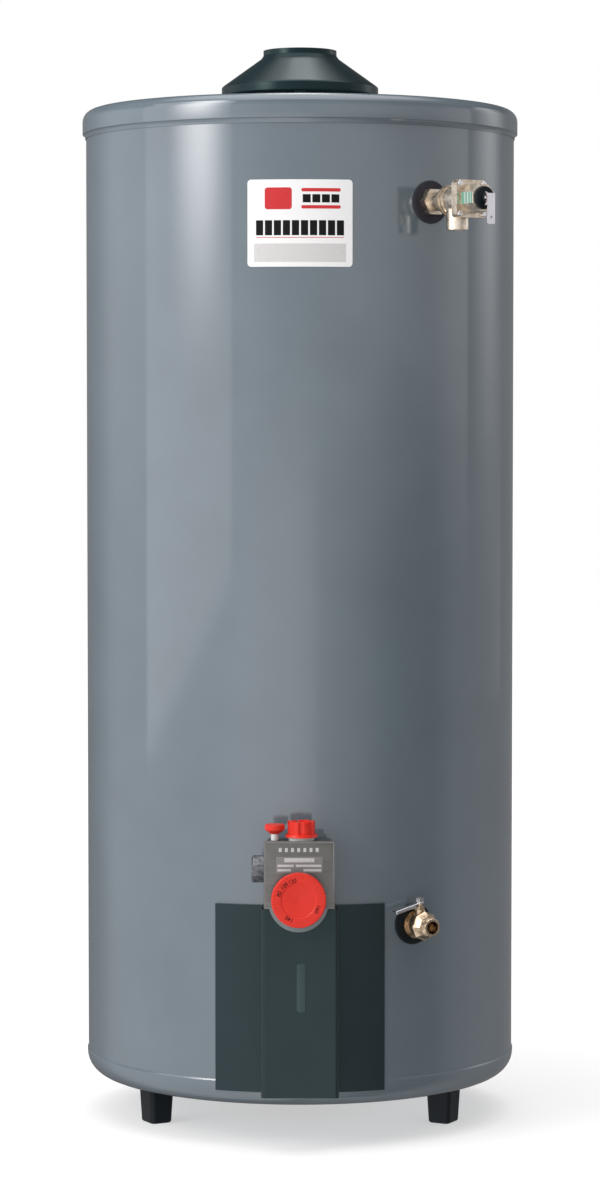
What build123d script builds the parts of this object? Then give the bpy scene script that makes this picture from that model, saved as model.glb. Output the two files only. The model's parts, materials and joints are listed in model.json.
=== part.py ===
from build123d import *
import os
from math import cos, radians, sin, sqrt

# Tank water heater, gas fired, floor standing. Millimetres, +Z up, front at -Y.
# The origin is on the tank axis at floor level.

os.makedirs("parts", exist_ok=True)

# ---------------------------------------------------------------- driving dimensions
GAP = 0.3            # air between pieces that don't touch
RUN = 0.05           # radial clearance of a shaft in its bore
HAIR = 0.03          # between pieces that bear on each other

# case
JACKET_R = 333.4
SHEET = 1.0
FOOT_H = 62.0
BASE_SEAM_Z = 102.0
BASE_LIP = 1.5       # how far the base pan's lip stands out from the jacket
BASE_EDGE_R = 34.0
HEM_Z = 1527.5
HEM_PROUD = 5.5      # how far the top pan's skirt stands out from the jacket
HEM_STEP = 7.0
TOP_Z = 1565.0
TOP_EDGE_R = 18.0
JACKET_LOW_Z = 92.0
JACKET_HIGH_Z = 1545.0
AIR_HOLE_R = 120.0

# feet
FOOT_REACH = 252.0
FOOT_TOP = (47.0, 42.0)
FOOT_SOLE = (41.0, 36.0)
FOOT_CORNER_R = 8.0
FOOT_ANGLES = {"foot_front_left": -61.8, "foot_front_right": 61.8, "foot_rear": 180.0}
FOOT_BOLT_R = 4.0
FOOT_HEAD_R = 9.0
FOOT_HEAD_DEPTH = 40.0
FOOT_HEAD_H = 5.0

# tank
TANK_R = 283.0
TANK_T = 3.0
TANK_LOW_Z = 276.0
TANK_HIGH_Z = 1470.0
HEAD_RISE = 46.0
FLUE_R = 51.0
FLUE_T = 2.0
FLUE_HIGH_Z = 1572.0
SPUD_X = 203.2       # half of the 16 inch distance between the water connections
SPUD_R = 19.0
SPUD_TOP_Z = 1577.0
SPUD_THREAD_R = 11.7
SPUD_THREAD_L = 25.0
SPUD_BORE_R = 9.5
DIP_TUBE_L = 1120.0
ANODE_Y = 203.2
ANODE_R = 10.5
ANODE_L = 980.0

# draft hood
HOOD_T = 1.2
HOOD_LIP_R = 122.0
HOOD_LIP_Z = 1588.0
HOOD_CONE_R = 119.5
HOOD_CONE_Z = 1604.0
COLLAR_FOOT_R = 61.0
COLLAR_FOOT_Z = 1646.0
COLLAR_R = 57.0
COLLAR_Z = 1651.5
COLLAR_TOP_Z = 1659.5
LEG_W = 18.0
LEG_R = 110.0
LEG_FOOT = 20.0
LEG_TOP_Z = 1596.0
LEG_ANGLES = (30.0, 150.0, 270.0)

# rating label
LABEL_W = 155.0
LABEL_LOW_Z = 1309.6
LABEL_HIGH_Z = 1437.3
LABEL_CORNER_R = 5.5
LABEL_T = 0.4

# burner compartment
SKIRT_R = 283.0
SKIRT_T = 2.0
DOORWAY_W = 120.0
DOORWAY_LOW_Z = 88.0
DOORWAY_HIGH_Z = 232.0
MANIFOLD_R = 7.9
MANIFOLD_Z = 118.0
MANIFOLD_REACH = 32.0
MANIFOLD_BEND_R = 14.0
TUBE_REACH = 34.0
TUBE_Z = 138.0
TUBE_BEND_R = 9.0
PILOT_Y = -112.0
PILOT_X = -22.0
PILOT_TUBE_R = 3.2
PILOT_TUBE_TOP_Z = 156.0
THERMO_X = -38.0
THERMO_R = 1.6
THERMO_TOP_Z = 172.0
BURNER_R = 95.0
BURNER_Z = 176.0

# access door
DOOR_T = 1.2
DOOR_LOW_Z = 86.3
DOOR_HIGH_Z = 366.2
DOOR_WING_ANGLE = 22.0
DOOR_GAP = 2.2       # inside of the wings from the jacket, clear of the base pan's lip
CHANNEL_W = 115.0
CHANNEL_PROUD = 46.0
CHANNEL_BEND_R = 6.0
SLOT_X = 1.5
SLOT_W = 14.0
SLOT_LOW_Z = 213.0
SLOT_HIGH_Z = 286.8

# gas control, reached by distances out from the jacket's front
CONTROL_BACK = 22.0
CONTROL_FRONT = 73.0
PLATE_T = 2.0
CONTROL_W = 96.0
CONTROL_X = -1.0
CONTROL_LOW_Z = 374.0
CONTROL_HIGH_Z = 469.0
PLATE_W = 104.0
PLATE_LOW_Z = 370.7
PLATE_HIGH_Z = 470.5
LOBE_R = 44.0
LOBE_Z = 380.3
SHANK_R = 13.3
SHANK_Z = 425.0
PROBE_R = 7.0
PROBE_END_Y = -95.0
DIAL_X = -2.0
DIAL_Z = 386.0
DIAL_R = 39.75
DIAL_BACK = 83.0
DIAL_FACE = 100.0
DIAL_SPINDLE_R = 5.0
COCK_X = 2.0
COCK_REACH = 47.0
COCK_FLANGE_R = 24.5
COCK_R = 20.5
COCK_STEM_R = 6.0
COCK_FLANGE_Z = 474.0
COCK_TOP_Z = 496.8
BUTTON_X = -37.0
BUTTON_REACH = 49.0
BUTTON_R = 14.5
BUTTON_NECK_R = 6.8
BUTTON_NECK_Z = 478.5
BUTTON_TOP_Z = 492.4
BUTTON_STEM_R = 5.5
BUTTON_SPRING_Z = 437.0
INLET_Z = 426.5
INLET_REACH = 48.0
INLET_ACROSS = 38.0
INLET_END_X = -71.0
INLET_THREAD_R = 9.13
INLET_THREAD_L = 19.0

# relief valve, distances out along its axis from the jacket
RELIEF_ANGLE = 35.5
RELIEF_Z = 1407.8
ROSETTE_T = 2.5
RELIEF_ROSETTE_R = 32.0
VALVE_SHANK_IN = 46.0
RELIEF_HEX = 37.0
RELIEF_HEX_END = 13.0
RELIEF_BARREL_R = 21.0
RELIEF_FLANGE = 55.0
RELIEF_FLANGE_CORNER_R = 6.0
RELIEF_FLANGE_BACK = 86.0
RELIEF_JOINT = 92.5
RELIEF_BONNET_BASE = 99.0
RELIEF_BONNET_ACROSS = 42.0
RELIEF_BONNET_END = 127.0
RELIEF_CAP_END = 131.5
RELIEF_SCREW_PITCH = 44.0
RELIEF_SCREW_R = 2.0
RELIEF_SEAT = 60.0
RELIEF_SEAT_R = 9.0
RELIEF_CAVITY_R = 14.0
RELIEF_OUTLET_AT = 65.0
RELIEF_OUTLET_R = 16.5
RELIEF_OUTLET_DROP = 44.0
RELIEF_OUTLET_L = 20.0
RELIEF_STEM_R = 4.0
LEVER_PIN_AT = 138.0
LEVER_PIN_R = 2.0
LEVER_EYE_R = 5.8
LEVER_EYE_RISE = 3.0
LEVER_EAR_IN = 5.2
LEVER_T = 1.5
LEVER_DROP = 39.0
LEVER_HOLE_DROP = 29.0

# drain valve, distances out along its axis from the jacket
DRAIN_ANGLE = 30.5
DRAIN_Z = 332.4
DRAIN_ROSETTE_R = 31.0
DRAIN_BASE_R = 21.0
DRAIN_BASE_END = 9.0
DRAIN_BARREL_R = 17.0
DRAIN_BALL_AT = 18.0
DRAIN_BALL_R = 12.5
DRAIN_BALL_BORE_R = 8.5
DRAIN_SPLIT = 29.0
DRAIN_COLLAR_R = 22.0
DRAIN_COLLAR_END = 34.0
DRAIN_HOSE_R = 13.45
DRAIN_HOSE_START = 44.0
DRAIN_END = 54.0
DRAIN_BORE_R = 9.5
DRAIN_STEM_R = 4.0
DRAIN_BOSS_R = 8.5
DRAIN_BOSS_TOP = 29.0
DRAIN_BOSS_HEX_H = 6.0
DRAIN_LEVER_Y = 33.0
DRAIN_LEVER_L = 45.0
DRAIN_LEVER_W = 12.0
DRAIN_LEVER_T = 2.0
DRAIN_LEVER_SLOPE = 14.0
DRAIN_NUT_TOP = 41.0


# ---------------------------------------------------------------- helpers
def radial_plane(angle, height, reach):
    """Plane facing outward from the tank axis, its Y up; the angle runs from the front to +X."""
    outward = Vector(sin(radians(angle)), -cos(radians(angle)), 0)
    sideways = Vector(cos(radians(angle)), sin(radians(angle)), 0)
    return Plane(origin=outward * reach + Vector(0, 0, height), x_dir=sideways, z_dir=outward)


def side_plane(face):
    """Plane through a facing plane's axis: its X runs outward, its Y up."""
    return Plane(origin=face.origin, x_dir=face.z_dir, z_dir=face.x_dir * -1)


def axis_of(face):
    """Line that a facing plane looks along."""
    return Axis(face.origin, face.z_dir)


def front(reach):
    """Plane in front of the jacket: X to the right, Y up, facing the viewer."""
    return Plane(origin=(0, -(JACKET_R + reach), 0), x_dir=(1, 0, 0), z_dir=(0, -1, 0))


def dome(radius, rim_z):
    """Height of a tank head's outer face at a radius from the axis."""
    ball = (TANK_R**2 + HEAD_RISE**2) / (2 * HEAD_RISE)
    return rim_z + HEAD_RISE - ball + sqrt(ball**2 - radius**2)


def save(piece, node):
    """Label a finished piece and write it to its own file."""
    piece.part.label = node
    export_step(piece.part, f"parts/{node}.step")


RELIEF = radial_plane(RELIEF_ANGLE, RELIEF_Z, JACKET_R)
DRAIN = radial_plane(DRAIN_ANGLE, DRAIN_Z, JACKET_R)
CONTROL = radial_plane(0, SHANK_Z, JACKET_R)

# ---------------------------------------------------------------- case
SHANK_HOLE_R = 16.0  # in the jacket, round each shank

with BuildPart() as outer_jacket:
    with BuildSketch(Plane.XY.offset(JACKET_LOW_Z)):
        Circle(JACKET_R)
        Circle(JACKET_R - SHEET, mode=Mode.SUBTRACT)
    extrude(amount=JACKET_HIGH_Z - JACKET_LOW_Z)
    for face in (RELIEF, DRAIN, CONTROL):
        with BuildSketch(face.offset(-SHANK_HOLE_R)):
            Circle(SHANK_HOLE_R)
        extrude(amount=2 * SHANK_HOLE_R, mode=Mode.SUBTRACT)
    with BuildSketch(front(SHANK_HOLE_R)):
        with Locations((0, (DOORWAY_LOW_Z + DOORWAY_HIGH_Z) / 2 + SHANK_HOLE_R)):
            Rectangle(DOORWAY_W + SHANK_HOLE_R, DOORWAY_HIGH_Z - DOORWAY_LOW_Z)
    extrude(amount=-3 * SHANK_HOLE_R, mode=Mode.SUBTRACT)
save(outer_jacket, "outer_jacket")

PAN_HOLE_R = 54.0
SPUD_SPOTS = ((-SPUD_X, 0), (SPUD_X, 0), (0, ANODE_Y))
SPUD_HOLE_R = SPUD_R + 2

with BuildPart() as top_pan:
    with BuildSketch(Plane.XZ):
        with BuildLine():
            skirt_r = JACKET_R + HEM_PROUD
            hem = Line((JACKET_R + SHEET + GAP, HEM_Z - HEM_STEP), (skirt_r, HEM_Z))
            skirt = Line(hem @ 1, (skirt_r, TOP_Z - TOP_EDGE_R))
            edge = RadiusArc(skirt @ 1, (skirt_r - TOP_EDGE_R, TOP_Z), -TOP_EDGE_R)
            Line(edge @ 1, (PAN_HOLE_R, TOP_Z))
            offset(amount=SHEET, side=Side.LEFT)
        make_face()
    revolve(axis=Axis.Z)
    with BuildSketch(Plane.XY.offset(TOP_Z - TOP_EDGE_R)):
        with Locations(*SPUD_SPOTS):
            Circle(SPUD_HOLE_R)
    extrude(amount=2 * TOP_EDGE_R, mode=Mode.SUBTRACT)
save(top_pan, "top_pan")

with BuildPart() as base_pan:
    with BuildSketch(Plane.XZ):
        with BuildLine():
            lip_r = JACKET_R + BASE_LIP
            floor = Line((AIR_HOLE_R, FOOT_H), (lip_r - BASE_EDGE_R, FOOT_H))
            bend = RadiusArc(floor @ 1, (lip_r, FOOT_H + BASE_EDGE_R), -BASE_EDGE_R)
            Line(bend @ 1, (lip_r, BASE_SEAM_Z))
            offset(amount=SHEET, side=Side.LEFT)
        make_face()
    revolve(axis=Axis.Z)
    with BuildSketch(Plane.XY.offset(FOOT_H - SHEET)):
        for angle in FOOT_ANGLES.values():
            with Locations(radial_plane(angle, 0, FOOT_REACH).origin):
                Circle(FOOT_BOLT_R + GAP)
    extrude(amount=3 * SHEET, mode=Mode.SUBTRACT)
save(base_pan, "base_pan")

for node, angle in FOOT_ANGLES.items():
    spot = radial_plane(angle, 0, FOOT_REACH)
    level = Plane(origin=spot.origin, x_dir=spot.x_dir, z_dir=(0, 0, 1))
    with BuildPart() as foot:
        with BuildSketch(level):
            RectangleRounded(*FOOT_SOLE, FOOT_CORNER_R)
        with BuildSketch(level.offset(FOOT_H)):
            RectangleRounded(*FOOT_TOP, FOOT_CORNER_R)
        loft()
        fillet(foot.faces().sort_by(Axis.Z)[0].edges(), radius=FOOT_CORNER_R / 2)
        with Locations(level.offset(FOOT_H)):
            Hole(FOOT_BOLT_R + GAP)
        with BuildSketch(level):
            Circle(FOOT_HEAD_R + GAP)
        extrude(amount=FOOT_HEAD_DEPTH, mode=Mode.SUBTRACT)
    save(foot, node)

with BuildPart() as foot_bolts:
    for angle in FOOT_ANGLES.values():
        spot = radial_plane(angle, FOOT_HEAD_DEPTH, FOOT_REACH).origin
        with BuildSketch(Plane(origin=spot - Vector(0, 0, FOOT_HEAD_H))):
            RegularPolygon(FOOT_HEAD_R - 1, 6)
        extrude(amount=FOOT_HEAD_H)
        with BuildSketch(Plane(origin=spot)):
            Circle(FOOT_BOLT_R)
        extrude(amount=FOOT_H - FOOT_HEAD_DEPTH + 4 * SHEET)
save(foot_bolts, "foot_bolts")

with BuildPart() as rating_label:
    with BuildSketch(front(2 * SHEET)):
        with Locations((0, (LABEL_LOW_Z + LABEL_HIGH_Z) / 2)):
            RectangleRounded(LABEL_W, LABEL_HIGH_Z - LABEL_LOW_Z, LABEL_CORNER_R)
    extrude(amount=-LABEL_W / 2)
    with BuildSketch(Plane.XY.offset(LABEL_LOW_Z)):
        Circle(JACKET_R + LABEL_T)
        Circle(JACKET_R, mode=Mode.SUBTRACT)
    extrude(amount=LABEL_HIGH_Z - LABEL_LOW_Z, mode=Mode.INTERSECT)
save(rating_label, "rating_label")

# ---------------------------------------------------------------- draft hood
with BuildPart() as draft_hood:
    with BuildSketch(Plane.XZ):
        with BuildLine():
            Polyline(
                (HOOD_LIP_R, HOOD_LIP_Z),
                (HOOD_LIP_R, HOOD_CONE_Z - (HOOD_LIP_R - HOOD_CONE_R)),
                (HOOD_CONE_R, HOOD_CONE_Z),
                (COLLAR_FOOT_R, COLLAR_FOOT_Z),
                (COLLAR_R, COLLAR_Z),
                (COLLAR_R, COLLAR_TOP_Z),
            )
            offset(amount=HOOD_T, side=Side.LEFT)
        make_face()
    revolve(axis=Axis.Z)
save(draft_hood, "draft_hood")


def leg_plane(angle):
    """Upright plane through the tank axis at an angle from +X: its X runs outward."""
    outward = Vector(cos(radians(angle)), sin(radians(angle)), 0)
    return Plane(origin=(0, 0, 0), x_dir=outward, z_dir=outward.cross(Vector(0, 0, 1)))


LEG_SCREW_R = 2.2
LEG_SCREW_AT = LEG_R - LEG_FOOT / 2

with BuildPart() as hood_legs:
    for angle in LEG_ANGLES:
        with BuildSketch(leg_plane(angle)):
            with BuildLine():
                Polyline(
                    (LEG_R - LEG_FOOT, TOP_Z),
                    (LEG_R, TOP_Z),
                    (LEG_R, LEG_TOP_Z),
                    (HOOD_LIP_R - HOOD_T - 1, LEG_TOP_Z),
                )
                offset(amount=HOOD_T, side=Side.LEFT)
            make_face()
        extrude(amount=LEG_W / 2, both=True)
        spot = Vector(LEG_SCREW_AT, 0, 0).rotate(Axis.Z, angle)
        with BuildSketch(Plane(origin=spot + Vector(0, 0, TOP_Z))):
            Circle(LEG_SCREW_R + GAP)
        extrude(amount=2 * HOOD_T, mode=Mode.SUBTRACT)
save(hood_legs, "hood_legs")

with BuildPart() as hood_screws:
    for angle in LEG_ANGLES:
        spot = Vector(LEG_SCREW_AT, 0, 0).rotate(Axis.Z, angle)
        with BuildSketch(Plane(origin=spot + Vector(0, 0, TOP_Z + HOOD_T))):
            RegularPolygon(2 * LEG_SCREW_R, 6)
        extrude(amount=1.5 * LEG_SCREW_R)
        with BuildSketch(Plane(origin=spot + Vector(0, 0, TOP_Z + HAIR))):
            Circle(LEG_SCREW_R)
        extrude(amount=HOOD_T)
save(hood_screws, "hood_screws")

# ---------------------------------------------------------------- tank and flue
with BuildPart() as tank_shell:
    with BuildSketch(Plane.XY.offset(TANK_LOW_Z)):
        Circle(TANK_R)
        Circle(TANK_R - TANK_T, mode=Mode.SUBTRACT)
    extrude(amount=TANK_HIGH_Z - TANK_LOW_Z)
    for face in (RELIEF, DRAIN, CONTROL):
        with BuildSketch(face.offset(TANK_R - JACKET_R - SPUD_R)):
            Circle(SHANK_R + GAP)
        extrude(amount=2 * SPUD_R, mode=Mode.SUBTRACT)
save(tank_shell, "tank_shell")


def head_profile(rim_z, thickness):
    """Half section of a domed head, hung below its outer face, from the flue to the shell."""
    inner_r = FLUE_R + GAP
    middle_r = (inner_r + TANK_R) / 2
    upper = [(r, dome(r, rim_z)) for r in (inner_r, middle_r, TANK_R)]
    lower = [(r, z - thickness) for r, z in upper]
    ThreePointArc(*upper)
    Line(upper[2], lower[2])
    ThreePointArc(*reversed(lower))
    Line(lower[0], upper[0])


with BuildPart() as tank_top_head:
    with BuildSketch(Plane.XZ):
        with BuildLine():
            head_profile(TANK_HIGH_Z + TANK_T, TANK_T)
        make_face()
    revolve(axis=Axis.Z)
    with BuildSketch(Plane.XY.offset(TANK_HIGH_Z)):
        with Locations(*SPUD_SPOTS):
            Circle(SPUD_THREAD_R)
    extrude(amount=2 * HEAD_RISE, mode=Mode.SUBTRACT)
save(tank_top_head, "tank_top_head")

with BuildPart() as tank_bottom_head:
    with BuildSketch(Plane.XZ):
        with BuildLine():
            head_profile(TANK_LOW_Z, TANK_T)
        make_face()
    revolve(axis=Axis.Z)
    with BuildSketch(Plane.XY.offset(TANK_LOW_Z)):
        Circle(TANK_R + 1)
        Circle(TANK_R - TANK_T - GAP, mode=Mode.SUBTRACT)
    extrude(amount=HEAD_RISE, mode=Mode.SUBTRACT)
save(tank_bottom_head, "tank_bottom_head")

with BuildPart() as flue_tube:
    with BuildSketch(Plane.XY.offset(dome(FLUE_R, TANK_LOW_Z) - 3 * TANK_T)):
        Circle(FLUE_R)
        Circle(FLUE_R - FLUE_T, mode=Mode.SUBTRACT)
    extrude(amount=FLUE_HIGH_Z - dome(FLUE_R, TANK_LOW_Z) + 3 * TANK_T)
save(flue_tube, "flue_tube")

BAFFLE_W = 84.0
BAFFLE_SWING = 18.0
BAFFLE_PITCH = 80.0
BAFFLE_FOLDS = 14
BAFFLE_T = 1.5

with BuildPart() as flue_baffle:
    with BuildSketch(Plane.YZ):
        with BuildLine():
            Polyline(*[
                (BAFFLE_SWING * (-1) ** fold, FLUE_HIGH_Z - BAFFLE_PITCH / 4 - BAFFLE_PITCH * fold)
                for fold in range(BAFFLE_FOLDS)
            ])
            offset(amount=BAFFLE_T, side=Side.LEFT)
        make_face()
    extrude(amount=BAFFLE_W / 2, both=True)
    with BuildSketch(Plane.XY):
        Circle(2 * FLUE_R)
        Circle(FLUE_R - FLUE_T - 2 * GAP, mode=Mode.SUBTRACT)
    extrude(amount=FLUE_HIGH_Z, mode=Mode.SUBTRACT)
save(flue_baffle, "flue_baffle")

FOAM_IN_R = TANK_R + 1
FOAM_OUT_R = JACKET_R - SHEET - GAP
FOAM_TOP_Z = TOP_Z - SHEET - GAP
FOAM_LOW_Z = TANK_LOW_Z + 6

with BuildPart() as foam_insulation:
    with BuildSketch(Plane.XZ):
        with BuildLine():
            over = [
                (r, dome(r, TANK_HIGH_Z + 2 * TANK_T))
                for r in (PAN_HOLE_R, (PAN_HOLE_R + TANK_R) / 2, TANK_R)
            ]
            ThreePointArc(*over)
            Polyline(
                over[2], (FOAM_IN_R, TANK_HIGH_Z), (FOAM_IN_R, FOAM_LOW_Z), (FOAM_OUT_R, FOAM_LOW_Z),
                (FOAM_OUT_R, JACKET_HIGH_Z), (FOAM_OUT_R - TOP_EDGE_R, FOAM_TOP_Z),
                (PAN_HOLE_R, FOAM_TOP_Z), over[0],
            )
        make_face()
    revolve(axis=Axis.Z)
    for face in (RELIEF, DRAIN, CONTROL):
        with BuildSketch(face.offset(TANK_R - JACKET_R - SPUD_R)):
            Circle(SPUD_R + GAP)
        extrude(amount=2 * JACKET_R - TANK_R, mode=Mode.SUBTRACT)
    with BuildSketch(Plane.XY.offset(TANK_HIGH_Z)):
        with Locations(*SPUD_SPOTS):
            Circle(SPUD_HOLE_R)
    extrude(amount=TOP_Z - TANK_HIGH_Z, mode=Mode.SUBTRACT)
save(foam_insulation, "foam_insulation")

SPUD_SEAT_Z = dome(SPUD_X - SPUD_R, TANK_HIGH_Z + TANK_T) + GAP
for node, side in (("cold_inlet_spud", 1), ("hot_outlet_spud", -1)):
    with BuildPart() as spud:
        with BuildSketch(Plane(origin=(side * SPUD_X, 0, SPUD_SEAT_Z))):
            Circle(SPUD_R)
            Circle(SPUD_BORE_R, mode=Mode.SUBTRACT)
        extrude(amount=SPUD_TOP_Z - SPUD_SEAT_Z)
        with BuildSketch(Plane(origin=(side * SPUD_X, 0, SPUD_TOP_Z))):
            Circle(SPUD_THREAD_R)
        extrude(amount=-SPUD_THREAD_L, mode=Mode.SUBTRACT)
    save(spud, node)

with BuildPart() as dip_tube:
    with BuildSketch(Plane(origin=(SPUD_X, 0, SPUD_SEAT_Z + 2))):
        Circle(SPUD_BORE_R - RUN)
        Circle(SPUD_BORE_R - 1.5, mode=Mode.SUBTRACT)
    extrude(amount=-DIP_TUBE_L)
save(dip_tube, "dip_tube")

with BuildPart() as anode_rod:
    with BuildSketch(Plane(origin=(0, ANODE_Y, SPUD_SEAT_Z))):
        Circle(SPUD_R)
    extrude(amount=TOP_Z - SPUD_SEAT_Z)
    with BuildSketch(Plane(origin=(0, ANODE_Y, TOP_Z))):
        RegularPolygon(SPUD_R - 3, 6)
    extrude(amount=SPUD_TOP_Z - TOP_Z)
    with BuildSketch(Plane(origin=(0, ANODE_Y, SPUD_SEAT_Z))):
        Circle(ANODE_R)
    extrude(amount=-ANODE_L)
save(anode_rod, "anode_rod")

SPUD_OUT = 14.0

with BuildPart() as tank_spuds:
    for face in (RELIEF, DRAIN, CONTROL):
        with BuildSketch(face.offset(TANK_R - JACKET_R + GAP)):
            Circle(SPUD_R)
            Circle(SHANK_R + RUN, mode=Mode.SUBTRACT)
        extrude(amount=SPUD_OUT)
save(tank_spuds, "tank_spuds")

# ---------------------------------------------------------------- burner compartment
DOORWAY_MID_Z = (DOORWAY_LOW_Z + DOORWAY_HIGH_Z) / 2
SKIRT_LOW_Z = FOOT_H + SHEET + GAP

with BuildPart() as combustion_skirt:
    with BuildSketch(Plane.XY.offset(SKIRT_LOW_Z)):
        Circle(SKIRT_R)
        Circle(SKIRT_R - SKIRT_T, mode=Mode.SUBTRACT)
    extrude(amount=TANK_LOW_Z - TANK_T - GAP - SKIRT_LOW_Z)
    with BuildSketch(Plane.XZ.offset(SKIRT_R / 2)):
        with Locations((0, DOORWAY_MID_Z)):
            Rectangle(DOORWAY_W, DOORWAY_HIGH_Z - DOORWAY_LOW_Z)
    extrude(amount=SKIRT_R, mode=Mode.SUBTRACT)
save(combustion_skirt, "combustion_skirt")

INNER_DOOR_LAP = 12.0
INNER_DOOR_W = DOORWAY_W + 2 * INNER_DOOR_LAP

with BuildPart() as skirt_insulation:
    with BuildSketch(Plane.XY.offset(BASE_SEAM_Z)):
        Circle(FOAM_OUT_R)
        Circle(FOAM_IN_R + 1, mode=Mode.SUBTRACT)
    extrude(amount=FOAM_LOW_Z - GAP - BASE_SEAM_Z)
    with BuildSketch(Plane.XZ.offset(SKIRT_R / 2)):
        with Locations((0, BASE_SEAM_Z)):
            Rectangle(INNER_DOOR_W + 4, 2 * FOAM_LOW_Z)
    extrude(amount=SKIRT_R, mode=Mode.SUBTRACT)
save(skirt_insulation, "skirt_insulation")

SIGHT_SPOT = (34.0, 188.0)
SIGHT_R = 13.0
SIGHT_LAP = 3.0
SIGHT_T = 4.0
TUBE_HOLES = ((0, MANIFOLD_Z, MANIFOLD_R), (PILOT_X, TUBE_Z, PILOT_TUBE_R), (THERMO_X, TUBE_Z, THERMO_R))
TUBE_HOLE_GAP = 1.0
DOOR_SCREW_R = 2.0
DOOR_SCREW_X = INNER_DOOR_W / 2 - INNER_DOOR_LAP / 2
DOOR_SCREW_IN = 8.0  # from the doorway's top and bottom
SCREW_SPOTS = [
    (x, z)
    for x in (-DOOR_SCREW_X, DOOR_SCREW_X)
    for z in (DOORWAY_LOW_Z + DOOR_SCREW_IN, DOORWAY_HIGH_Z - DOOR_SCREW_IN)
]

with BuildPart() as inner_door:
    with BuildSketch(Plane.XY.offset(DOORWAY_LOW_Z - INNER_DOOR_LAP)):
        Circle(SKIRT_R + GAP + DOOR_T)
        Circle(SKIRT_R + GAP, mode=Mode.SUBTRACT)
    extrude(amount=DOORWAY_HIGH_Z - DOORWAY_LOW_Z + 2 * INNER_DOOR_LAP)
    with BuildSketch(Plane.XZ.offset(SKIRT_R / 2)):
        with Locations((0, DOORWAY_MID_Z)):
            Rectangle(INNER_DOOR_W, 2 * SKIRT_R)
        with Locations(SIGHT_SPOT):
            Circle(SIGHT_R - SIGHT_LAP, mode=Mode.SUBTRACT)
        for x, z, r in TUBE_HOLES:
            with Locations((x, z)):
                Circle(r + TUBE_HOLE_GAP, mode=Mode.SUBTRACT)
        with Locations(*SCREW_SPOTS):
            Circle(DOOR_SCREW_R + GAP, mode=Mode.SUBTRACT)
    extrude(amount=SKIRT_R, mode=Mode.INTERSECT)
save(inner_door, "inner_door")

with BuildPart() as sight_glass:
    with BuildSketch(Plane.XZ.offset(SKIRT_R + 2)):
        with Locations(SIGHT_SPOT):
            Circle(SIGHT_R)
    extrude(amount=SIGHT_T)
save(sight_glass, "sight_glass")

with BuildPart() as inner_door_screws:
    for x, z in SCREW_SPOTS:
        head = Plane(origin=(x, -sqrt(SKIRT_R**2 - x**2) - DOOR_T - 2, z), z_dir=(0, -1, 0))
        with BuildSketch(head):
            RegularPolygon(2 * DOOR_SCREW_R, 6)
        extrude(amount=1.5 * DOOR_SCREW_R)
        with BuildSketch(head):
            Circle(DOOR_SCREW_R)
        extrude(amount=-2)
save(inner_door_screws, "inner_door_screws")

BURNER_WALL = 1.5
BURNER_DROP = 32.0   # from the burner's middle down to the mouth of its throat
BURNER_CROWN = 9.0   # from the burner's middle up to its top
BURNER_LIP = 10.0    # radial width of the sloped lip round its edge
THROAT_R = 15.0
THROAT_FLARE = 5.0
THROAT_TOP = 14.0
BURNER_PORTS = 28
BURNER_PORT_R = 2.0
BURNER_PORT_CIRCLE = 77.0

with BuildPart() as burner:
    with BuildSketch(Plane.XZ):
        with BuildLine():
            Polyline(
                (THROAT_R + THROAT_FLARE, BURNER_Z - BURNER_DROP),
                (THROAT_R, BURNER_Z - BURNER_DROP + 2 * THROAT_FLARE),
                (THROAT_R, BURNER_Z - THROAT_TOP),
                (BURNER_R - BURNER_LIP, BURNER_Z - BURNER_LIP),
                (BURNER_R, BURNER_Z),
                (BURNER_R - BURNER_LIP, BURNER_Z + BURNER_LIP / 2),
                (THROAT_R, BURNER_Z + BURNER_CROWN),
                (0, BURNER_Z + BURNER_CROWN),
            )
            offset(amount=BURNER_WALL, side=Side.LEFT)
        make_face()
    revolve(axis=Axis.Z)
    with BuildSketch(Plane.XY.offset(BURNER_Z)):
        with PolarLocations(BURNER_PORT_CIRCLE, BURNER_PORTS):
            Circle(BURNER_PORT_R)
    extrude(amount=HEAD_RISE, mode=Mode.SUBTRACT)
save(burner, "burner")

BRACKET_REACH = 70.0
BRACKET_FOOT = 25.0
BRACKET_W = 44.0
BRACKET_LOW_Z = SKIRT_LOW_Z + 2.0
BRACKET_TOP_Z = BURNER_Z - 20.0

with BuildPart() as burner_bracket:
    with BuildSketch(Plane.XZ):
        with BuildLine():
            Polyline(
                (-BRACKET_REACH - BRACKET_FOOT, BRACKET_LOW_Z),
                (-BRACKET_REACH, BRACKET_LOW_Z),
                (-BRACKET_REACH, BRACKET_TOP_Z),
                (BRACKET_REACH, BRACKET_TOP_Z),
                (BRACKET_REACH, BRACKET_LOW_Z),
                (BRACKET_REACH + BRACKET_FOOT, BRACKET_LOW_Z),
            )
            offset(amount=BURNER_WALL, side=Side.RIGHT)
        make_face()
    extrude(amount=BRACKET_W / 2, both=True)
    with BuildSketch(Plane.XY.offset(BRACKET_TOP_Z)):
        Circle(THROAT_R + GAP)
    extrude(amount=BURNER_WALL, both=True, mode=Mode.SUBTRACT)
save(burner_bracket, "burner_bracket")


def run_of_tube(x, reach, turn_z, end_y, end_z):
    """Down from the gas control, in under the tank and up again, in one upright plane."""
    y = -(JACKET_R + reach)
    return [(x, y, CONTROL_LOW_Z - GAP), (x, y, turn_z), (x, end_y, turn_z), (x, end_y, end_z)]


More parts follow.
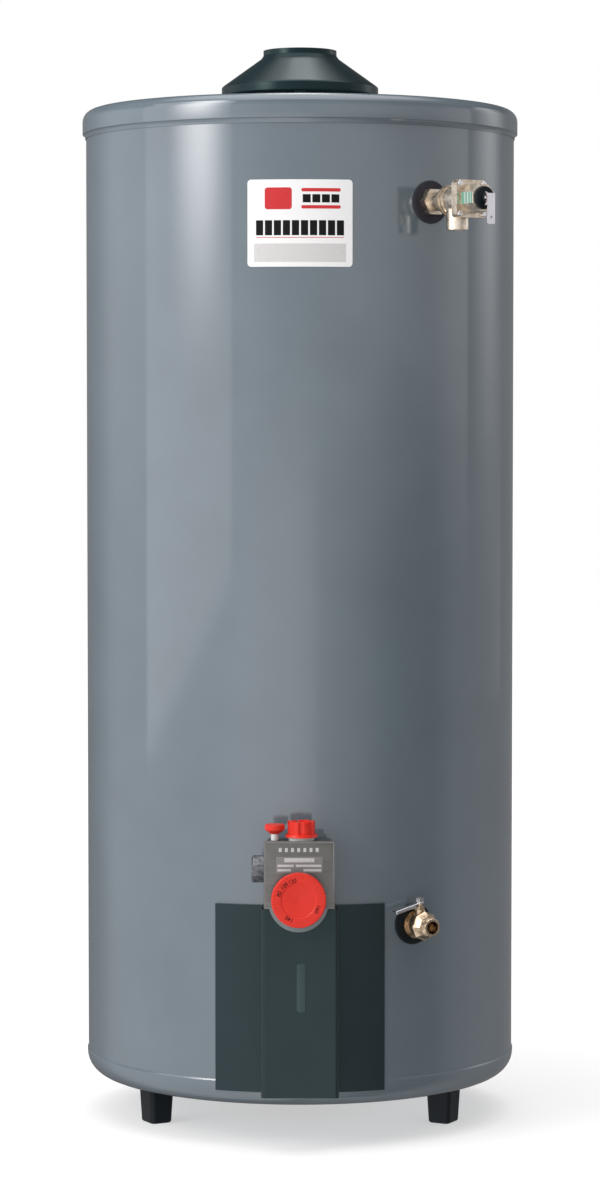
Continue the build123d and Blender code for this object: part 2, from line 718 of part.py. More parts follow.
manifold_run = run_of_tube(0, MANIFOLD_REACH, MANIFOLD_Z, 0, BURNER_Z - BURNER_DROP - 2)
pilot_run = run_of_tube(PILOT_X, TUBE_REACH, TUBE_Z, PILOT_Y, PILOT_TUBE_TOP_Z)
thermo_run = run_of_tube(THERMO_X, TUBE_REACH, TUBE_Z, PILOT_Y, THERMO_TOP_Z)
TUBES = {
    "manifold_tube": (manifold_run, MANIFOLD_BEND_R, MANIFOLD_R),
    "pilot_tube": (pilot_run, TUBE_BEND_R, PILOT_TUBE_R),
    "thermocouple": (thermo_run, TUBE_BEND_R, THERMO_R),
}
for node, (points, bend_r, tube_r) in TUBES.items():
    with BuildPart() as tube:
        with BuildLine():
            FilletPolyline(*points, radius=bend_r)
        with BuildSketch(Plane(origin=points[0], z_dir=(0, 0, -1))):
            Circle(tube_r)
        sweep()
    save(tube, node)

PILOT_BODY_W = 14.0
PILOT_BODY_H = 26.0
PILOT_CORNER_R = 2.0
PILOT_PORT_R = 3.0
PILOT_PORT_DEPTH = 8.0

with BuildPart() as pilot_burner:
    with BuildSketch(Plane(origin=(PILOT_X, PILOT_Y, PILOT_TUBE_TOP_Z + GAP))):
        RectangleRounded(PILOT_BODY_W, PILOT_BODY_W, PILOT_CORNER_R)
    extrude(amount=PILOT_BODY_H)
    with BuildSketch(Plane(origin=(PILOT_X, PILOT_Y, PILOT_TUBE_TOP_Z + PILOT_BODY_H + GAP))):
        Circle(PILOT_PORT_R)
    extrude(amount=-PILOT_PORT_DEPTH, mode=Mode.SUBTRACT)
save(pilot_burner, "pilot_burner")

# ---------------------------------------------------------------- access door
with BuildPart() as access_door:
    wing_r = JACKET_R + DOOR_GAP
    channel_y = -(JACKET_R + CHANNEL_PROUD)
    half = CHANNEL_W / 2
    root_y = -sqrt(wing_r**2 - half**2)
    wedge = Vector(0, -2 * wing_r, 0).rotate(Axis.Z, DOOR_WING_ANGLE)
    with BuildSketch(Plane.XY.offset(DOOR_LOW_Z)):
        Circle(wing_r + DOOR_T)
        Circle(wing_r, mode=Mode.SUBTRACT)
        with BuildLine():
            Polyline((0, 0), (wedge.X, wedge.Y), (-wedge.X, wedge.Y), close=True)
        make_face(mode=Mode.INTERSECT)
        with Locations((0, channel_y)):
            Rectangle(CHANNEL_W - 2 * DOOR_T, JACKET_R, mode=Mode.SUBTRACT)
        with BuildLine():
            FilletPolyline(
                (half, root_y), (half, channel_y), (-half, channel_y), (-half, root_y),
                radius=CHANNEL_BEND_R,
            )
            offset(amount=DOOR_T, side=Side.RIGHT)
        make_face()
    extrude(amount=DOOR_HIGH_Z - DOOR_LOW_Z)
    with BuildSketch(front(CHANNEL_PROUD)):
        with Locations((SLOT_X, (SLOT_LOW_Z + SLOT_HIGH_Z) / 2)):
            SlotOverall(SLOT_HIGH_Z - SLOT_LOW_Z, SLOT_W, rotation=90)
    extrude(amount=-DOOR_T / 2, mode=Mode.SUBTRACT)
save(access_door, "access_door")

# ---------------------------------------------------------------- gas control
COCK_SPOT = (COCK_X, -(JACKET_R + COCK_REACH))
BUTTON_SPOT = (BUTTON_X, -(JACKET_R + BUTTON_REACH))
CONTROL_MID_Z = (CONTROL_LOW_Z + CONTROL_HIGH_Z) / 2
CONTROL_SIDE_X = CONTROL_X - CONTROL_W / 2
CONTROL_CORNER_R = 5.0
CONTROL_CHAMFER = 3.0
SHANK_HEX_R = 18.3
SHANK_HEX_L = 12.0
COCK_BORE_DEPTH = 18.0
SPINDLE_DEPTH = 20.0


def above(spot, height):
    """Level plane at a place and height, facing up."""
    return Plane(origin=(spot[0], spot[1], height))


with BuildPart() as gas_control_body:
    with BuildSketch(front(CONTROL_BACK)):
        with Locations((CONTROL_X, CONTROL_MID_Z)):
            RectangleRounded(CONTROL_W, CONTROL_HIGH_Z - CONTROL_LOW_Z, CONTROL_CORNER_R)
    extrude(amount=CONTROL_FRONT - CONTROL_BACK)
    chamfer(gas_control_body.faces().sort_by(Axis.Y)[-1].edges(), length=CONTROL_CHAMFER)
    with BuildSketch(CONTROL.offset(-VALVE_SHANK_IN)):
        Circle(SHANK_R)
    extrude(amount=CONTROL_BACK + VALVE_SHANK_IN)
    with BuildSketch(CONTROL.offset(CONTROL_BACK)):
        RegularPolygon(SHANK_HEX_R, 6)
    extrude(amount=-SHANK_HEX_L)
    with BuildSketch(front(CONTROL_FRONT)):
        with Locations((DIAL_X, DIAL_Z)):
            Circle(DIAL_SPINDLE_R + RUN)
    extrude(amount=-SPINDLE_DEPTH, mode=Mode.SUBTRACT)
    with BuildSketch(above(COCK_SPOT, CONTROL_HIGH_Z)):
        Circle(COCK_STEM_R + RUN)
    extrude(amount=-COCK_BORE_DEPTH, mode=Mode.SUBTRACT)
    with BuildSketch(above(BUTTON_SPOT, CONTROL_HIGH_Z)):
        Circle(BUTTON_STEM_R + RUN)
    extrude(amount=BUTTON_SPRING_Z - CONTROL_HIGH_Z, mode=Mode.SUBTRACT)
save(gas_control_body, "gas_control_body")

PLATE_CORNER_R = 2.0
PLATE_HOLE_R = DIAL_SPINDLE_R + 2.0

with BuildPart() as control_face_plate:
    with BuildSketch(front(CONTROL_FRONT)):
        with Locations((CONTROL_X, (PLATE_LOW_Z + PLATE_HIGH_Z) / 2)):
            RectangleRounded(PLATE_W, PLATE_HIGH_Z - PLATE_LOW_Z, PLATE_CORNER_R)
        with Locations((DIAL_X, LOBE_Z)):
            Circle(LOBE_R)
        with Locations((DIAL_X, DIAL_Z)):
            Circle(PLATE_HOLE_R, mode=Mode.SUBTRACT)
    extrude(amount=PLATE_T)
save(control_face_plate, "control_face_plate")

DIAL_FACE_T = 5.0
DIAL_WALL = 3.0
DIAL_EDGE_R = 2.0
DIAL_HUB_R = DIAL_SPINDLE_R + 4.0

with BuildPart() as temperature_dial:
    with BuildSketch(front(DIAL_BACK)):
        with Locations((DIAL_X, DIAL_Z)):
            Circle(DIAL_R)
    extrude(amount=DIAL_FACE - DIAL_BACK)
    fillet(temperature_dial.faces().sort_by(Axis.Y)[0].edges(), radius=DIAL_EDGE_R)
    with BuildSketch(front(DIAL_BACK)):
        with Locations((DIAL_X, DIAL_Z)):
            Circle(DIAL_R - DIAL_WALL)
            Circle(DIAL_HUB_R, mode=Mode.SUBTRACT)
    extrude(amount=DIAL_FACE - DIAL_BACK - DIAL_FACE_T, mode=Mode.SUBTRACT)
    with BuildSketch(front(DIAL_BACK)):
        with Locations((DIAL_X, DIAL_Z)):
            Circle(DIAL_SPINDLE_R)
    extrude(amount=-(DIAL_BACK - CONTROL_FRONT + SPINDLE_DEPTH - 1))
save(temperature_dial, "temperature_dial")

COLLAR_H = COCK_FLANGE_Z - CONTROL_HIGH_Z - GAP
COLLAR_R_OUT = COCK_FLANGE_R - 5.5

with BuildPart() as gas_cock_collar:
    with BuildSketch(above(COCK_SPOT, CONTROL_HIGH_Z)):
        Circle(COLLAR_R_OUT)
        Circle(COCK_STEM_R + GAP, mode=Mode.SUBTRACT)
    extrude(amount=COLLAR_H)
save(gas_cock_collar, "gas_cock_collar")

COCK_FLANGE_H = 4.0
COCK_FLANGE_TAPER = 20.0
COCK_FLUTES = 8
COCK_FLUTE_R = 5.5
COCK_DISH_R = 13.0
COCK_DISH_DEPTH = 4.0
COCK_NOTCH = 5.0

with BuildPart() as gas_cock_knob:
    with BuildSketch(above(COCK_SPOT, COCK_FLANGE_Z)):
        Circle(COCK_FLANGE_R)
    extrude(amount=COCK_FLANGE_H, taper=COCK_FLANGE_TAPER)
    with BuildSketch(above(COCK_SPOT, COCK_FLANGE_Z)):
        Circle(COCK_R)
        with PolarLocations(COCK_R + COCK_FLUTE_R / 2, COCK_FLUTES):
            Circle(COCK_FLUTE_R, mode=Mode.SUBTRACT)
    extrude(amount=COCK_TOP_Z - COCK_FLANGE_Z)
    with BuildSketch(above(COCK_SPOT, COCK_TOP_Z)):
        Circle(COCK_DISH_R)
        with PolarLocations(COCK_R, COCK_FLUTES // 2, start_angle=180 / COCK_FLUTES):
            Rectangle(COCK_R, COCK_NOTCH)
    extrude(amount=-COCK_DISH_DEPTH, mode=Mode.SUBTRACT)
    with BuildSketch(above(COCK_SPOT, COCK_FLANGE_Z)):
        Circle(COCK_STEM_R)
    extrude(amount=-(COLLAR_H + GAP + COCK_BORE_DEPTH - 1))
save(gas_cock_knob, "gas_cock_knob")

BUTTON_WAIST_Z = 484.6
BUTTON_BEVEL = 1.0
BUTTON_STEM_LOW_Z = 453.0

with BuildPart() as pilot_button:
    with BuildSketch(Plane(origin=(*BUTTON_SPOT, 0), x_dir=(1, 0, 0), z_dir=(0, -1, 0))):
        with BuildLine():
            Polyline(
                (0, BUTTON_NECK_Z), (BUTTON_NECK_R, BUTTON_NECK_Z), (BUTTON_R, BUTTON_WAIST_Z),
                (BUTTON_R, BUTTON_TOP_Z - BUTTON_BEVEL), (BUTTON_R - BUTTON_BEVEL, BUTTON_TOP_Z),
                (0, BUTTON_TOP_Z), close=True,
            )
        make_face()
    revolve(axis=Axis((*BUTTON_SPOT, 0), (0, 0, 1)))
save(pilot_button, "pilot_button")

with BuildPart() as pilot_stem:
    with BuildSketch(above(BUTTON_SPOT, BUTTON_STEM_LOW_Z)):
        Circle(BUTTON_STEM_R)
    extrude(amount=BUTTON_NECK_Z - BUTTON_STEM_LOW_Z)
save(pilot_stem, "pilot_stem")


def coil(start, along, length, radius, wire, turns):
    """Helical spring as one solid, its axis starting at a point and running along a direction."""
    pitch = (length - 2 * wire) / turns
    with BuildPart() as spring:
        with BuildLine() as line:
            Helix(pitch, pitch * turns, radius)
        with BuildSketch(Plane(origin=line.line @ 0, z_dir=line.line % 0)):
            Circle(wire)
        sweep(is_frenet=True)
    home = Plane(origin=start + along * wire, z_dir=along)
    spring.part = spring.part.moved(home.location)
    return spring


PILOT_SPRING_L = BUTTON_STEM_LOW_Z - BUTTON_SPRING_Z - 2 * GAP
pilot_spring = coil(
    Vector(*BUTTON_SPOT, BUTTON_SPRING_Z + GAP), Vector(0, 0, 1), PILOT_SPRING_L,
    radius=4.0, wire=0.6, turns=5,
)
save(pilot_spring, "pilot_spring")

INLET_CHAMFER = 2.0
EIGHTH = 360 / 8     # between the corners of an eight sided boss

with BuildPart() as gas_inlet_boss:
    inlet_face = Plane(
        origin=(CONTROL_SIDE_X - HAIR, -(JACKET_R + INLET_REACH), INLET_Z),
        x_dir=(0, -1, 0), z_dir=(-1, 0, 0),
    )
    boss_l = CONTROL_SIDE_X - INLET_END_X
    with BuildSketch(inlet_face):
        RegularPolygon(INLET_ACROSS / 2, 8, major_radius=False, rotation=EIGHTH / 2)
    extrude(amount=boss_l)
    chamfer(gas_inlet_boss.faces().sort_by(Axis.X)[0].edges(), length=INLET_CHAMFER)
    with BuildSketch(inlet_face.offset(boss_l)):
        Circle(INLET_THREAD_R)
    extrude(amount=-INLET_THREAD_L, mode=Mode.SUBTRACT)
save(gas_inlet_boss, "gas_inlet_boss")

with BuildPart() as immersion_probe:
    with BuildSketch(CONTROL.offset(-VALVE_SHANK_IN - HAIR)):
        Circle(PROBE_R)
    extrude(amount=-(JACKET_R + PROBE_END_Y - VALVE_SHANK_IN))
    fillet(immersion_probe.faces().sort_by(Axis.Y)[-1].edges(), radius=PROBE_R / 2)
save(immersion_probe, "immersion_probe")


# ---------------------------------------------------------------- relief valve
def rosette(face, radius):
    """Ring whose back follows the jacket and whose hole clears the valve's shank."""
    with BuildPart() as ring:
        with BuildSketch(face.offset(-ROSETTE_T)):
            Circle(radius)
            Circle(SHANK_R + GAP, mode=Mode.SUBTRACT)
        extrude(amount=2 * ROSETTE_T)
        chamfer(ring.edges().filter_by(GeomType.CIRCLE).sort_by(SortBy.DISTANCE)[-1:], length=1)
        with BuildSketch(Plane.XY.offset(face.origin.Z - 2 * radius)):
            Circle(JACKET_R + HAIR)
        extrude(amount=4 * radius, mode=Mode.SUBTRACT)
    return ring


relief_rosette = rosette(RELIEF, RELIEF_ROSETTE_R)
save(relief_rosette, "relief_rosette")

RIB_STARTS = (44.0, 52.0)
RIB_L = 3.0
RIB_PROUD = 1.5
NECK_START = 30.0
NECK_END = 38.0
BARREL_START = 60.0
CAVITY_FLOOR = RELIEF_CAVITY_R - 4.0

with BuildPart() as relief_body:
    with BuildSketch(side_plane(RELIEF)):
        with BuildLine():
            Polyline(
                (-VALVE_SHANK_IN, 0), (-VALVE_SHANK_IN, SHANK_R), (ROSETTE_T, SHANK_R),
                (NECK_START, SHANK_R + 1.5), (NECK_END, RELIEF_BARREL_R - 2), (BARREL_START, RELIEF_BARREL_R),
                (RELIEF_JOINT, RELIEF_BARREL_R), (RELIEF_JOINT, 0), close=True,
            )
        make_face()
        with Locations(*[(start + RIB_L / 2, 0) for start in RIB_STARTS]):
            Rectangle(RIB_L, RELIEF_BARREL_R + RIB_PROUD, align=(Align.CENTER, Align.MIN))
    revolve(axis=axis_of(RELIEF))
    with BuildSketch(RELIEF.offset(ROSETTE_T + GAP)):
        RegularPolygon(RELIEF_HEX / 2, 6, major_radius=False)
    extrude(amount=RELIEF_HEX_END - ROSETTE_T)
    with BuildSketch(RELIEF.offset(RELIEF_FLANGE_BACK)):
        RectangleRounded(RELIEF_FLANGE, RELIEF_FLANGE, RELIEF_FLANGE_CORNER_R)
    extrude(amount=RELIEF_JOINT - RELIEF_FLANGE_BACK)
    outlet = Plane(origin=RELIEF.origin + RELIEF.z_dir * RELIEF_OUTLET_AT, z_dir=(0, 0, -1))
    with BuildSketch(outlet):
        Circle(RELIEF_OUTLET_R)
    extrude(amount=RELIEF_OUTLET_DROP)
    with BuildSketch(RELIEF.offset(-VALVE_SHANK_IN)):
        Circle(RELIEF_SEAT_R)
    extrude(amount=VALVE_SHANK_IN + RELIEF_SEAT, mode=Mode.SUBTRACT)
    with BuildSketch(RELIEF.offset(RELIEF_JOINT)):
        Circle(RELIEF_CAVITY_R)
        with GridLocations(RELIEF_SCREW_PITCH, RELIEF_SCREW_PITCH, 2, 2):
            Circle(RELIEF_SCREW_R)
    extrude(amount=RELIEF_FLANGE_BACK - RELIEF_JOINT, mode=Mode.SUBTRACT)
    with BuildSketch(RELIEF.offset(RELIEF_JOINT)):
        Circle(RELIEF_CAVITY_R)
    extrude(amount=RELIEF_SEAT - RELIEF_JOINT, mode=Mode.SUBTRACT)
    with BuildSketch(outlet.offset(CAVITY_FLOOR)):
        Circle(RELIEF_SEAT_R)
    extrude(amount=RELIEF_OUTLET_DROP, mode=Mode.SUBTRACT)
    with BuildSketch(outlet.offset(RELIEF_OUTLET_DROP)):
        Circle(SPUD_THREAD_R)
    extrude(amount=-RELIEF_OUTLET_L, mode=Mode.SUBTRACT)
save(relief_body, "relief_body")

BONNET_BORE_R = 12.0
BONNET_ROOF = 5.0
BONNET_TAPER = 3.0
CAP_R = 17.0
CAP_TAPER = 10.0

with BuildPart() as relief_bonnet:
    with BuildSketch(RELIEF.offset(RELIEF_JOINT)):
        RectangleRounded(RELIEF_FLANGE, RELIEF_FLANGE, RELIEF_FLANGE_CORNER_R)
        with GridLocations(RELIEF_SCREW_PITCH, RELIEF_SCREW_PITCH, 2, 2):
            Circle(RELIEF_SCREW_R + GAP, mode=Mode.SUBTRACT)
    extrude(amount=RELIEF_BONNET_BASE - RELIEF_JOINT)
    with BuildSketch(RELIEF.offset(RELIEF_BONNET_BASE)):
        RegularPolygon(RELIEF_BONNET_ACROSS / 2, 8, major_radius=False, rotation=EIGHTH / 2)
    extrude(amount=RELIEF_BONNET_END - RELIEF_BONNET_BASE, taper=BONNET_TAPER)
    with BuildSketch(RELIEF.offset(RELIEF_JOINT)):
        Circle(BONNET_BORE_R)
    extrude(amount=RELIEF_BONNET_END - RELIEF_JOINT - BONNET_ROOF, mode=Mode.SUBTRACT)
    with BuildSketch(RELIEF.offset(RELIEF_JOINT)):
        Circle(RELIEF_STEM_R + RUN)
    extrude(amount=RELIEF_BONNET_END - RELIEF_JOINT, mode=Mode.SUBTRACT)
save(relief_bonnet, "relief_bonnet")

with BuildPart() as relief_cap:
    with BuildSketch(RELIEF.offset(RELIEF_BONNET_END)):
        Circle(CAP_R)
        Circle(RELIEF_STEM_R + GAP, mode=Mode.SUBTRACT)
    extrude(amount=RELIEF_CAP_END - RELIEF_BONNET_END, taper=CAP_TAPER)
save(relief_cap, "relief_cap")

SCREW_HEAD_R = 4.0
SCREW_HEAD_H = 2.8
SCREW_CROWN_R = 1.2

with BuildPart() as relief_screws:
    with BuildSketch(RELIEF.offset(RELIEF_FLANGE_BACK + 1)):
        with GridLocations(RELIEF_SCREW_PITCH, RELIEF_SCREW_PITCH, 2, 2):
            Circle(RELIEF_SCREW_R - RUN)
    extrude(amount=RELIEF_BONNET_BASE - RELIEF_FLANGE_BACK - 1)
    with BuildSketch(RELIEF.offset(RELIEF_BONNET_BASE)):
        with GridLocations(RELIEF_SCREW_PITCH, RELIEF_SCREW_PITCH, 2, 2):
            Circle(SCREW_HEAD_R)
    extrude(amount=SCREW_HEAD_H)
    fillet(relief_screws.faces().sort_by(axis_of(RELIEF))[-4:].edges(), radius=SCREW_CROWN_R)
save(relief_screws, "relief_screws")

STEM_DISC_R = 11.0
STEM_DISC_T = 4.0
SPRING_SEAT_AT = 72.0
STEM_END = LEVER_PIN_AT + 4.0

with BuildPart() as relief_stem:
    with BuildSketch(RELIEF.offset(RELIEF_SEAT + 2 * RUN)):
        Circle(STEM_DISC_R)
    extrude(amount=STEM_DISC_T)
    with BuildSketch(RELIEF.offset(SPRING_SEAT_AT - 2)):
        Circle(STEM_DISC_R - 1)
    extrude(amount=2)
    with BuildSketch(RELIEF.offset(RELIEF_SEAT + STEM_DISC_T)):
        Circle(RELIEF_STEM_R)
    extrude(amount=STEM_END - RELIEF_SEAT - STEM_DISC_T)
    with BuildSketch(side_plane(RELIEF)):
        with Locations((LEVER_PIN_AT, 0)):
            Circle(LEVER_PIN_R + HAIR)
    extrude(amount=SPUD_R, both=True, mode=Mode.SUBTRACT)
save(relief_stem, "relief_stem")

with BuildPart() as relief_pin:
    with BuildSketch(side_plane(RELIEF)):
        with Locations((LEVER_PIN_AT, 0)):
            Circle(LEVER_PIN_R)
    extrude(amount=LEVER_EAR_IN + LEVER_T + 1.5, both=True)
save(relief_pin, "relief_pin")

RELIEF_SPRING_L = RELIEF_BONNET_END - BONNET_ROOF - SPRING_SEAT_AT - 2 * GAP
relief_spring = coil(
    RELIEF.origin + RELIEF.z_dir * (SPRING_SEAT_AT + GAP), RELIEF.z_dir, RELIEF_SPRING_L,
    radius=8.0, wire=1.2, turns=7,
)
save(relief_spring, "relief_spring")

with BuildPart() as test_lever:
    strap_at = LEVER_PIN_AT + LEVER_EYE_R
    strap_w = 2 * (LEVER_EAR_IN + LEVER_T)
    ears = side_plane(RELIEF)
    with BuildSketch(ears):
        with Locations((LEVER_PIN_AT, LEVER_EYE_RISE / 2)):
            SlotCenterToCenter(LEVER_EYE_RISE, 2 * LEVER_EYE_R, rotation=90)
        with Locations((LEVER_PIN_AT + LEVER_EYE_R / 2 + LEVER_T / 2, -LEVER_EYE_R / 2)):
            Rectangle(LEVER_EYE_R + LEVER_T, 3 * LEVER_EYE_R)
        with Locations((LEVER_PIN_AT, 0)):
            Circle(LEVER_PIN_R + RUN, mode=Mode.SUBTRACT)
    extrude(amount=strap_w / 2, both=True)
    with BuildSketch(ears):
        with Locations((strap_at, 0)):
            Rectangle(4 * LEVER_EYE_R, 8 * LEVER_EYE_R, align=(Align.MAX, Align.CENTER))
    extrude(amount=LEVER_EAR_IN, both=True, mode=Mode.SUBTRACT)
    with BuildSketch(RELIEF.offset(strap_at)) as strap:
        with Locations((0, LEVER_EYE_R)):
            Rectangle(strap_w, LEVER_DROP + LEVER_EYE_R, align=(Align.CENTER, Align.MAX))
        fillet(strap.vertices(), radius=LEVER_T)
        with Locations((0, -LEVER_HOLE_DROP)):
            Circle(LEVER_PIN_R, mode=Mode.SUBTRACT)
    extrude(amount=LEVER_T)
save(test_lever, "test_lever")

# ---------------------------------------------------------------- drain valve
drain_rosette = rosette(DRAIN, DRAIN_ROSETTE_R)
save(drain_rosette, "drain_rosette")

BALL_CENTRE = DRAIN.origin + DRAIN.z_dir * DRAIN_BALL_AT
BALL_PLANE = Plane(origin=BALL_CENTRE, x_dir=DRAIN.x_dir, z_dir=(0, 0, 1))
TONGUE = (2.5, 6.0)
TONGUE_LOW = DRAIN_BALL_R - 3.5

with BuildPart() as drain_body:
    with BuildSketch(side_plane(DRAIN)):
        with BuildLine():
            Polyline(
                (-VALVE_SHANK_IN, 0), (-VALVE_SHANK_IN, SHANK_R), (ROSETTE_T + GAP, SHANK_R),
                (ROSETTE_T + GAP, DRAIN_BASE_R), (DRAIN_BASE_END, DRAIN_BASE_R),
                (DRAIN_BASE_END, DRAIN_BARREL_R), (DRAIN_SPLIT, DRAIN_BARREL_R), (DRAIN_SPLIT, 0),
                close=True,
            )
        make_face()
    revolve(axis=axis_of(DRAIN))
    with BuildSketch(BALL_PLANE):
        Circle(DRAIN_BOSS_R)
    extrude(amount=DRAIN_BOSS_TOP - DRAIN_BOSS_HEX_H)
    with BuildSketch(BALL_PLANE.offset(DRAIN_BOSS_TOP - DRAIN_BOSS_HEX_H)):
        RegularPolygon(DRAIN_BOSS_R, 6)
    extrude(amount=DRAIN_BOSS_HEX_H)
    with BuildSketch(DRAIN.offset(-VALVE_SHANK_IN)):
        Circle(DRAIN_BORE_R)
    extrude(amount=VALVE_SHANK_IN + DRAIN_BALL_AT, mode=Mode.SUBTRACT)
    with BuildSketch(DRAIN.offset(DRAIN_BALL_AT)):
        Circle(DRAIN_BALL_R + GAP)
    extrude(amount=DRAIN_SPLIT - DRAIN_BALL_AT, mode=Mode.SUBTRACT)
    with Locations(BALL_CENTRE):
        Sphere(DRAIN_BALL_R + GAP, mode=Mode.SUBTRACT)
    with BuildSketch(BALL_PLANE):
        Circle(DRAIN_STEM_R + RUN)
    extrude(amount=DRAIN_BOSS_TOP, mode=Mode.SUBTRACT)
save(drain_body, "drain_body")

with BuildPart() as drain_hose_end:
    with BuildSketch(side_plane(DRAIN)):
        with BuildLine():
            Polyline(
                (DRAIN_SPLIT, DRAIN_BORE_R), (DRAIN_SPLIT, DRAIN_COLLAR_R),
                (DRAIN_COLLAR_END, DRAIN_COLLAR_R), (DRAIN_HOSE_START, DRAIN_HOSE_R + 2.5),
                (DRAIN_HOSE_START, DRAIN_HOSE_R), (DRAIN_END, DRAIN_HOSE_R), (DRAIN_END, DRAIN_BORE_R),
                close=True,
            )
        make_face()
    revolve(axis=axis_of(DRAIN))
save(drain_hose_end, "drain_hose_end")

with BuildPart() as drain_ball:
    with Locations(BALL_CENTRE):
        Sphere(DRAIN_BALL_R)
    with BuildSketch(side_plane(DRAIN)):
        with Locations((DRAIN_BALL_AT, 0)):
            Circle(DRAIN_BALL_BORE_R)
    extrude(amount=2 * DRAIN_BALL_R, both=True, mode=Mode.SUBTRACT)
    with BuildSketch(BALL_PLANE.offset(TONGUE_LOW - GAP)):
        Rectangle(TONGUE[0] + 2 * RUN, 2 * DRAIN_BALL_R)
    extrude(amount=DRAIN_BALL_R, mode=Mode.SUBTRACT)
save(drain_ball, "drain_ball")

with BuildPart() as drain_stem:
    with BuildSketch(BALL_PLANE.offset(TONGUE_LOW)):
        Rectangle(*TONGUE)
    extrude(amount=DRAIN_BALL_R + GAP - TONGUE_LOW)
    with BuildSketch(BALL_PLANE.offset(DRAIN_BALL_R + GAP)):
        Circle(DRAIN_STEM_R)
    extrude(amount=DRAIN_NUT_TOP - 1 - DRAIN_BALL_R - GAP)
save(drain_stem, "drain_stem")

with BuildPart() as drain_lever:
    eye = BALL_PLANE.offset(DRAIN_LEVER_Y)
    with BuildSketch(eye):
        Circle(DRAIN_LEVER_W / 2)
        Rectangle(DRAIN_LEVER_W, DRAIN_LEVER_W, align=(Align.MAX, Align.CENTER))
    extrude(amount=DRAIN_LEVER_T)
    drop = Plane(origin=eye.origin, x_dir=DRAIN.x_dir * -1, z_dir=DRAIN.z_dir)
    with BuildSketch(drop):
        with BuildLine():
            fall = (DRAIN_LEVER_L - DRAIN_LEVER_W) * sin(radians(DRAIN_LEVER_SLOPE))
            Line((DRAIN_LEVER_W - 1, 0), (DRAIN_LEVER_L, fall))
            offset(amount=DRAIN_LEVER_T, side=Side.RIGHT)
        make_face()
    extrude(amount=DRAIN_LEVER_W / 2, both=True)
    with BuildSketch(BALL_PLANE):
        Circle(DRAIN_STEM_R + RUN)
    extrude(amount=2 * DRAIN_NUT_TOP, mode=Mode.SUBTRACT)
save(drain_lever, "drain_lever")

with BuildPart() as drain_lever_nut:
    with BuildSketch(BALL_PLANE.offset(DRAIN_LEVER_Y + DRAIN_LEVER_T + RUN)):
        RegularPolygon(DRAIN_STEM_R + 3, 6)
        Circle(DRAIN_STEM_R + RUN, mode=Mode.SUBTRACT)
    extrude(amount=DRAIN_NUT_TOP - DRAIN_LEVER_Y - DRAIN_LEVER_T)
save(drain_lever_nut, "drain_lever_nut")
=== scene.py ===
import json
from math import asin, cos, pi, radians, sin, sqrt, tan

import bmesh
import bpy
from mathutils import Matrix, Vector

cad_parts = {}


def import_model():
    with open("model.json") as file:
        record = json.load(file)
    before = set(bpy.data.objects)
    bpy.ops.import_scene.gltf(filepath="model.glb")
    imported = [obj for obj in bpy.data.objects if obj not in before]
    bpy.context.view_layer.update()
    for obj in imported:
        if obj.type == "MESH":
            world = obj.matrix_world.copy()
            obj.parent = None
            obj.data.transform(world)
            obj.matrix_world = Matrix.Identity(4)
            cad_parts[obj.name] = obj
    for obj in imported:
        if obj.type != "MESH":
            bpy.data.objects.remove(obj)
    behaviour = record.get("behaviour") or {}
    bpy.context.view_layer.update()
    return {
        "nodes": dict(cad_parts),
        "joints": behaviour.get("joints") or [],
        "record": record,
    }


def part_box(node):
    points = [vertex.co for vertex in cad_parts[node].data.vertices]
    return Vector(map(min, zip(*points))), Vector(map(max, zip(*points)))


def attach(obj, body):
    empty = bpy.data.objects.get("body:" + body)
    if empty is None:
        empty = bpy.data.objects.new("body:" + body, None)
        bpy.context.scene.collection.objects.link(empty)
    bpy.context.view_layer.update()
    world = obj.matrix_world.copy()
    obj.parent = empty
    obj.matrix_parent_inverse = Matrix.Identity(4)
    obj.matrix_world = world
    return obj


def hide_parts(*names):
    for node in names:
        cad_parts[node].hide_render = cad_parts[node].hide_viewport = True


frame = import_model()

# Tank water heater. Metres, +Z up, the front at -Y, the origin on the tank's axis at the floor.
# Azimuths are in degrees round the tank's axis: 0 is the front, positive to the viewer's right.
MM = 0.001
ROUND = 192          # steps round the case
SMALL_ROUND = 64     # steps round a small turned piece
WRAP_STEP = 2.5 * MM  # longest flat in a sheet wrapped round the case
CORNER_STEPS = 6     # columns of points over a wrapped sheet's rounded corner
MITRE_LIMIT = 0.3    # keeps an offset corner from running away where the line folds back

mounts = {mount["name"]: mount for mount in frame["record"]["mounts"]}
joints = {joint["name"]: joint for joint in frame["joints"]}

jacket_low, jacket_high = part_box("outer_jacket")
JACKET_R = jacket_high.x
TANK_AXIS = Matrix.Identity(4)  # placement of what is turned about the tank's own axis


# ---------------------------------------------------------------- mesh helpers
def around(azimuth, reach, height):
    """Point round the tank's axis."""
    return Vector((reach * sin(radians(azimuth)), -reach * cos(radians(azimuth)), height))


def facing(outward, height, reach=JACKET_R):
    """Placement whose X runs sideways, Y up and Z outward, at a distance from the tank's axis."""
    out = Vector((outward[0], outward[1], 0)).normalized()
    side = Vector((-out.y, out.x, 0))
    up = Vector((0, 0, 1))
    spot = out * reach + up * height
    return Matrix((
        (side.x, up.x, out.x, spot.x),
        (side.y, up.y, out.y, spot.y),
        (side.z, up.z, out.z, spot.z),
        (0, 0, 0, 1),
    ))


def rounded(points, radius, steps=5):
    """Closed outline with every corner turned into a short curve."""
    curve = []
    for i, point in enumerate(points):
        corner = Vector(point)
        back = Vector(points[i - 1]) - corner
        on = Vector(points[(i + 1) % len(points)]) - corner
        cut = min(radius / tan(back.angle(on) / 2), 0.45 * back.length, 0.45 * on.length)
        start = corner + back.normalized() * cut
        end = corner + on.normalized() * cut
        for step in range(steps + 1):
            t = step / steps
            curve.append(start * (1 - t) ** 2 + corner * 2 * t * (1 - t) + end * t ** 2)
    return curve


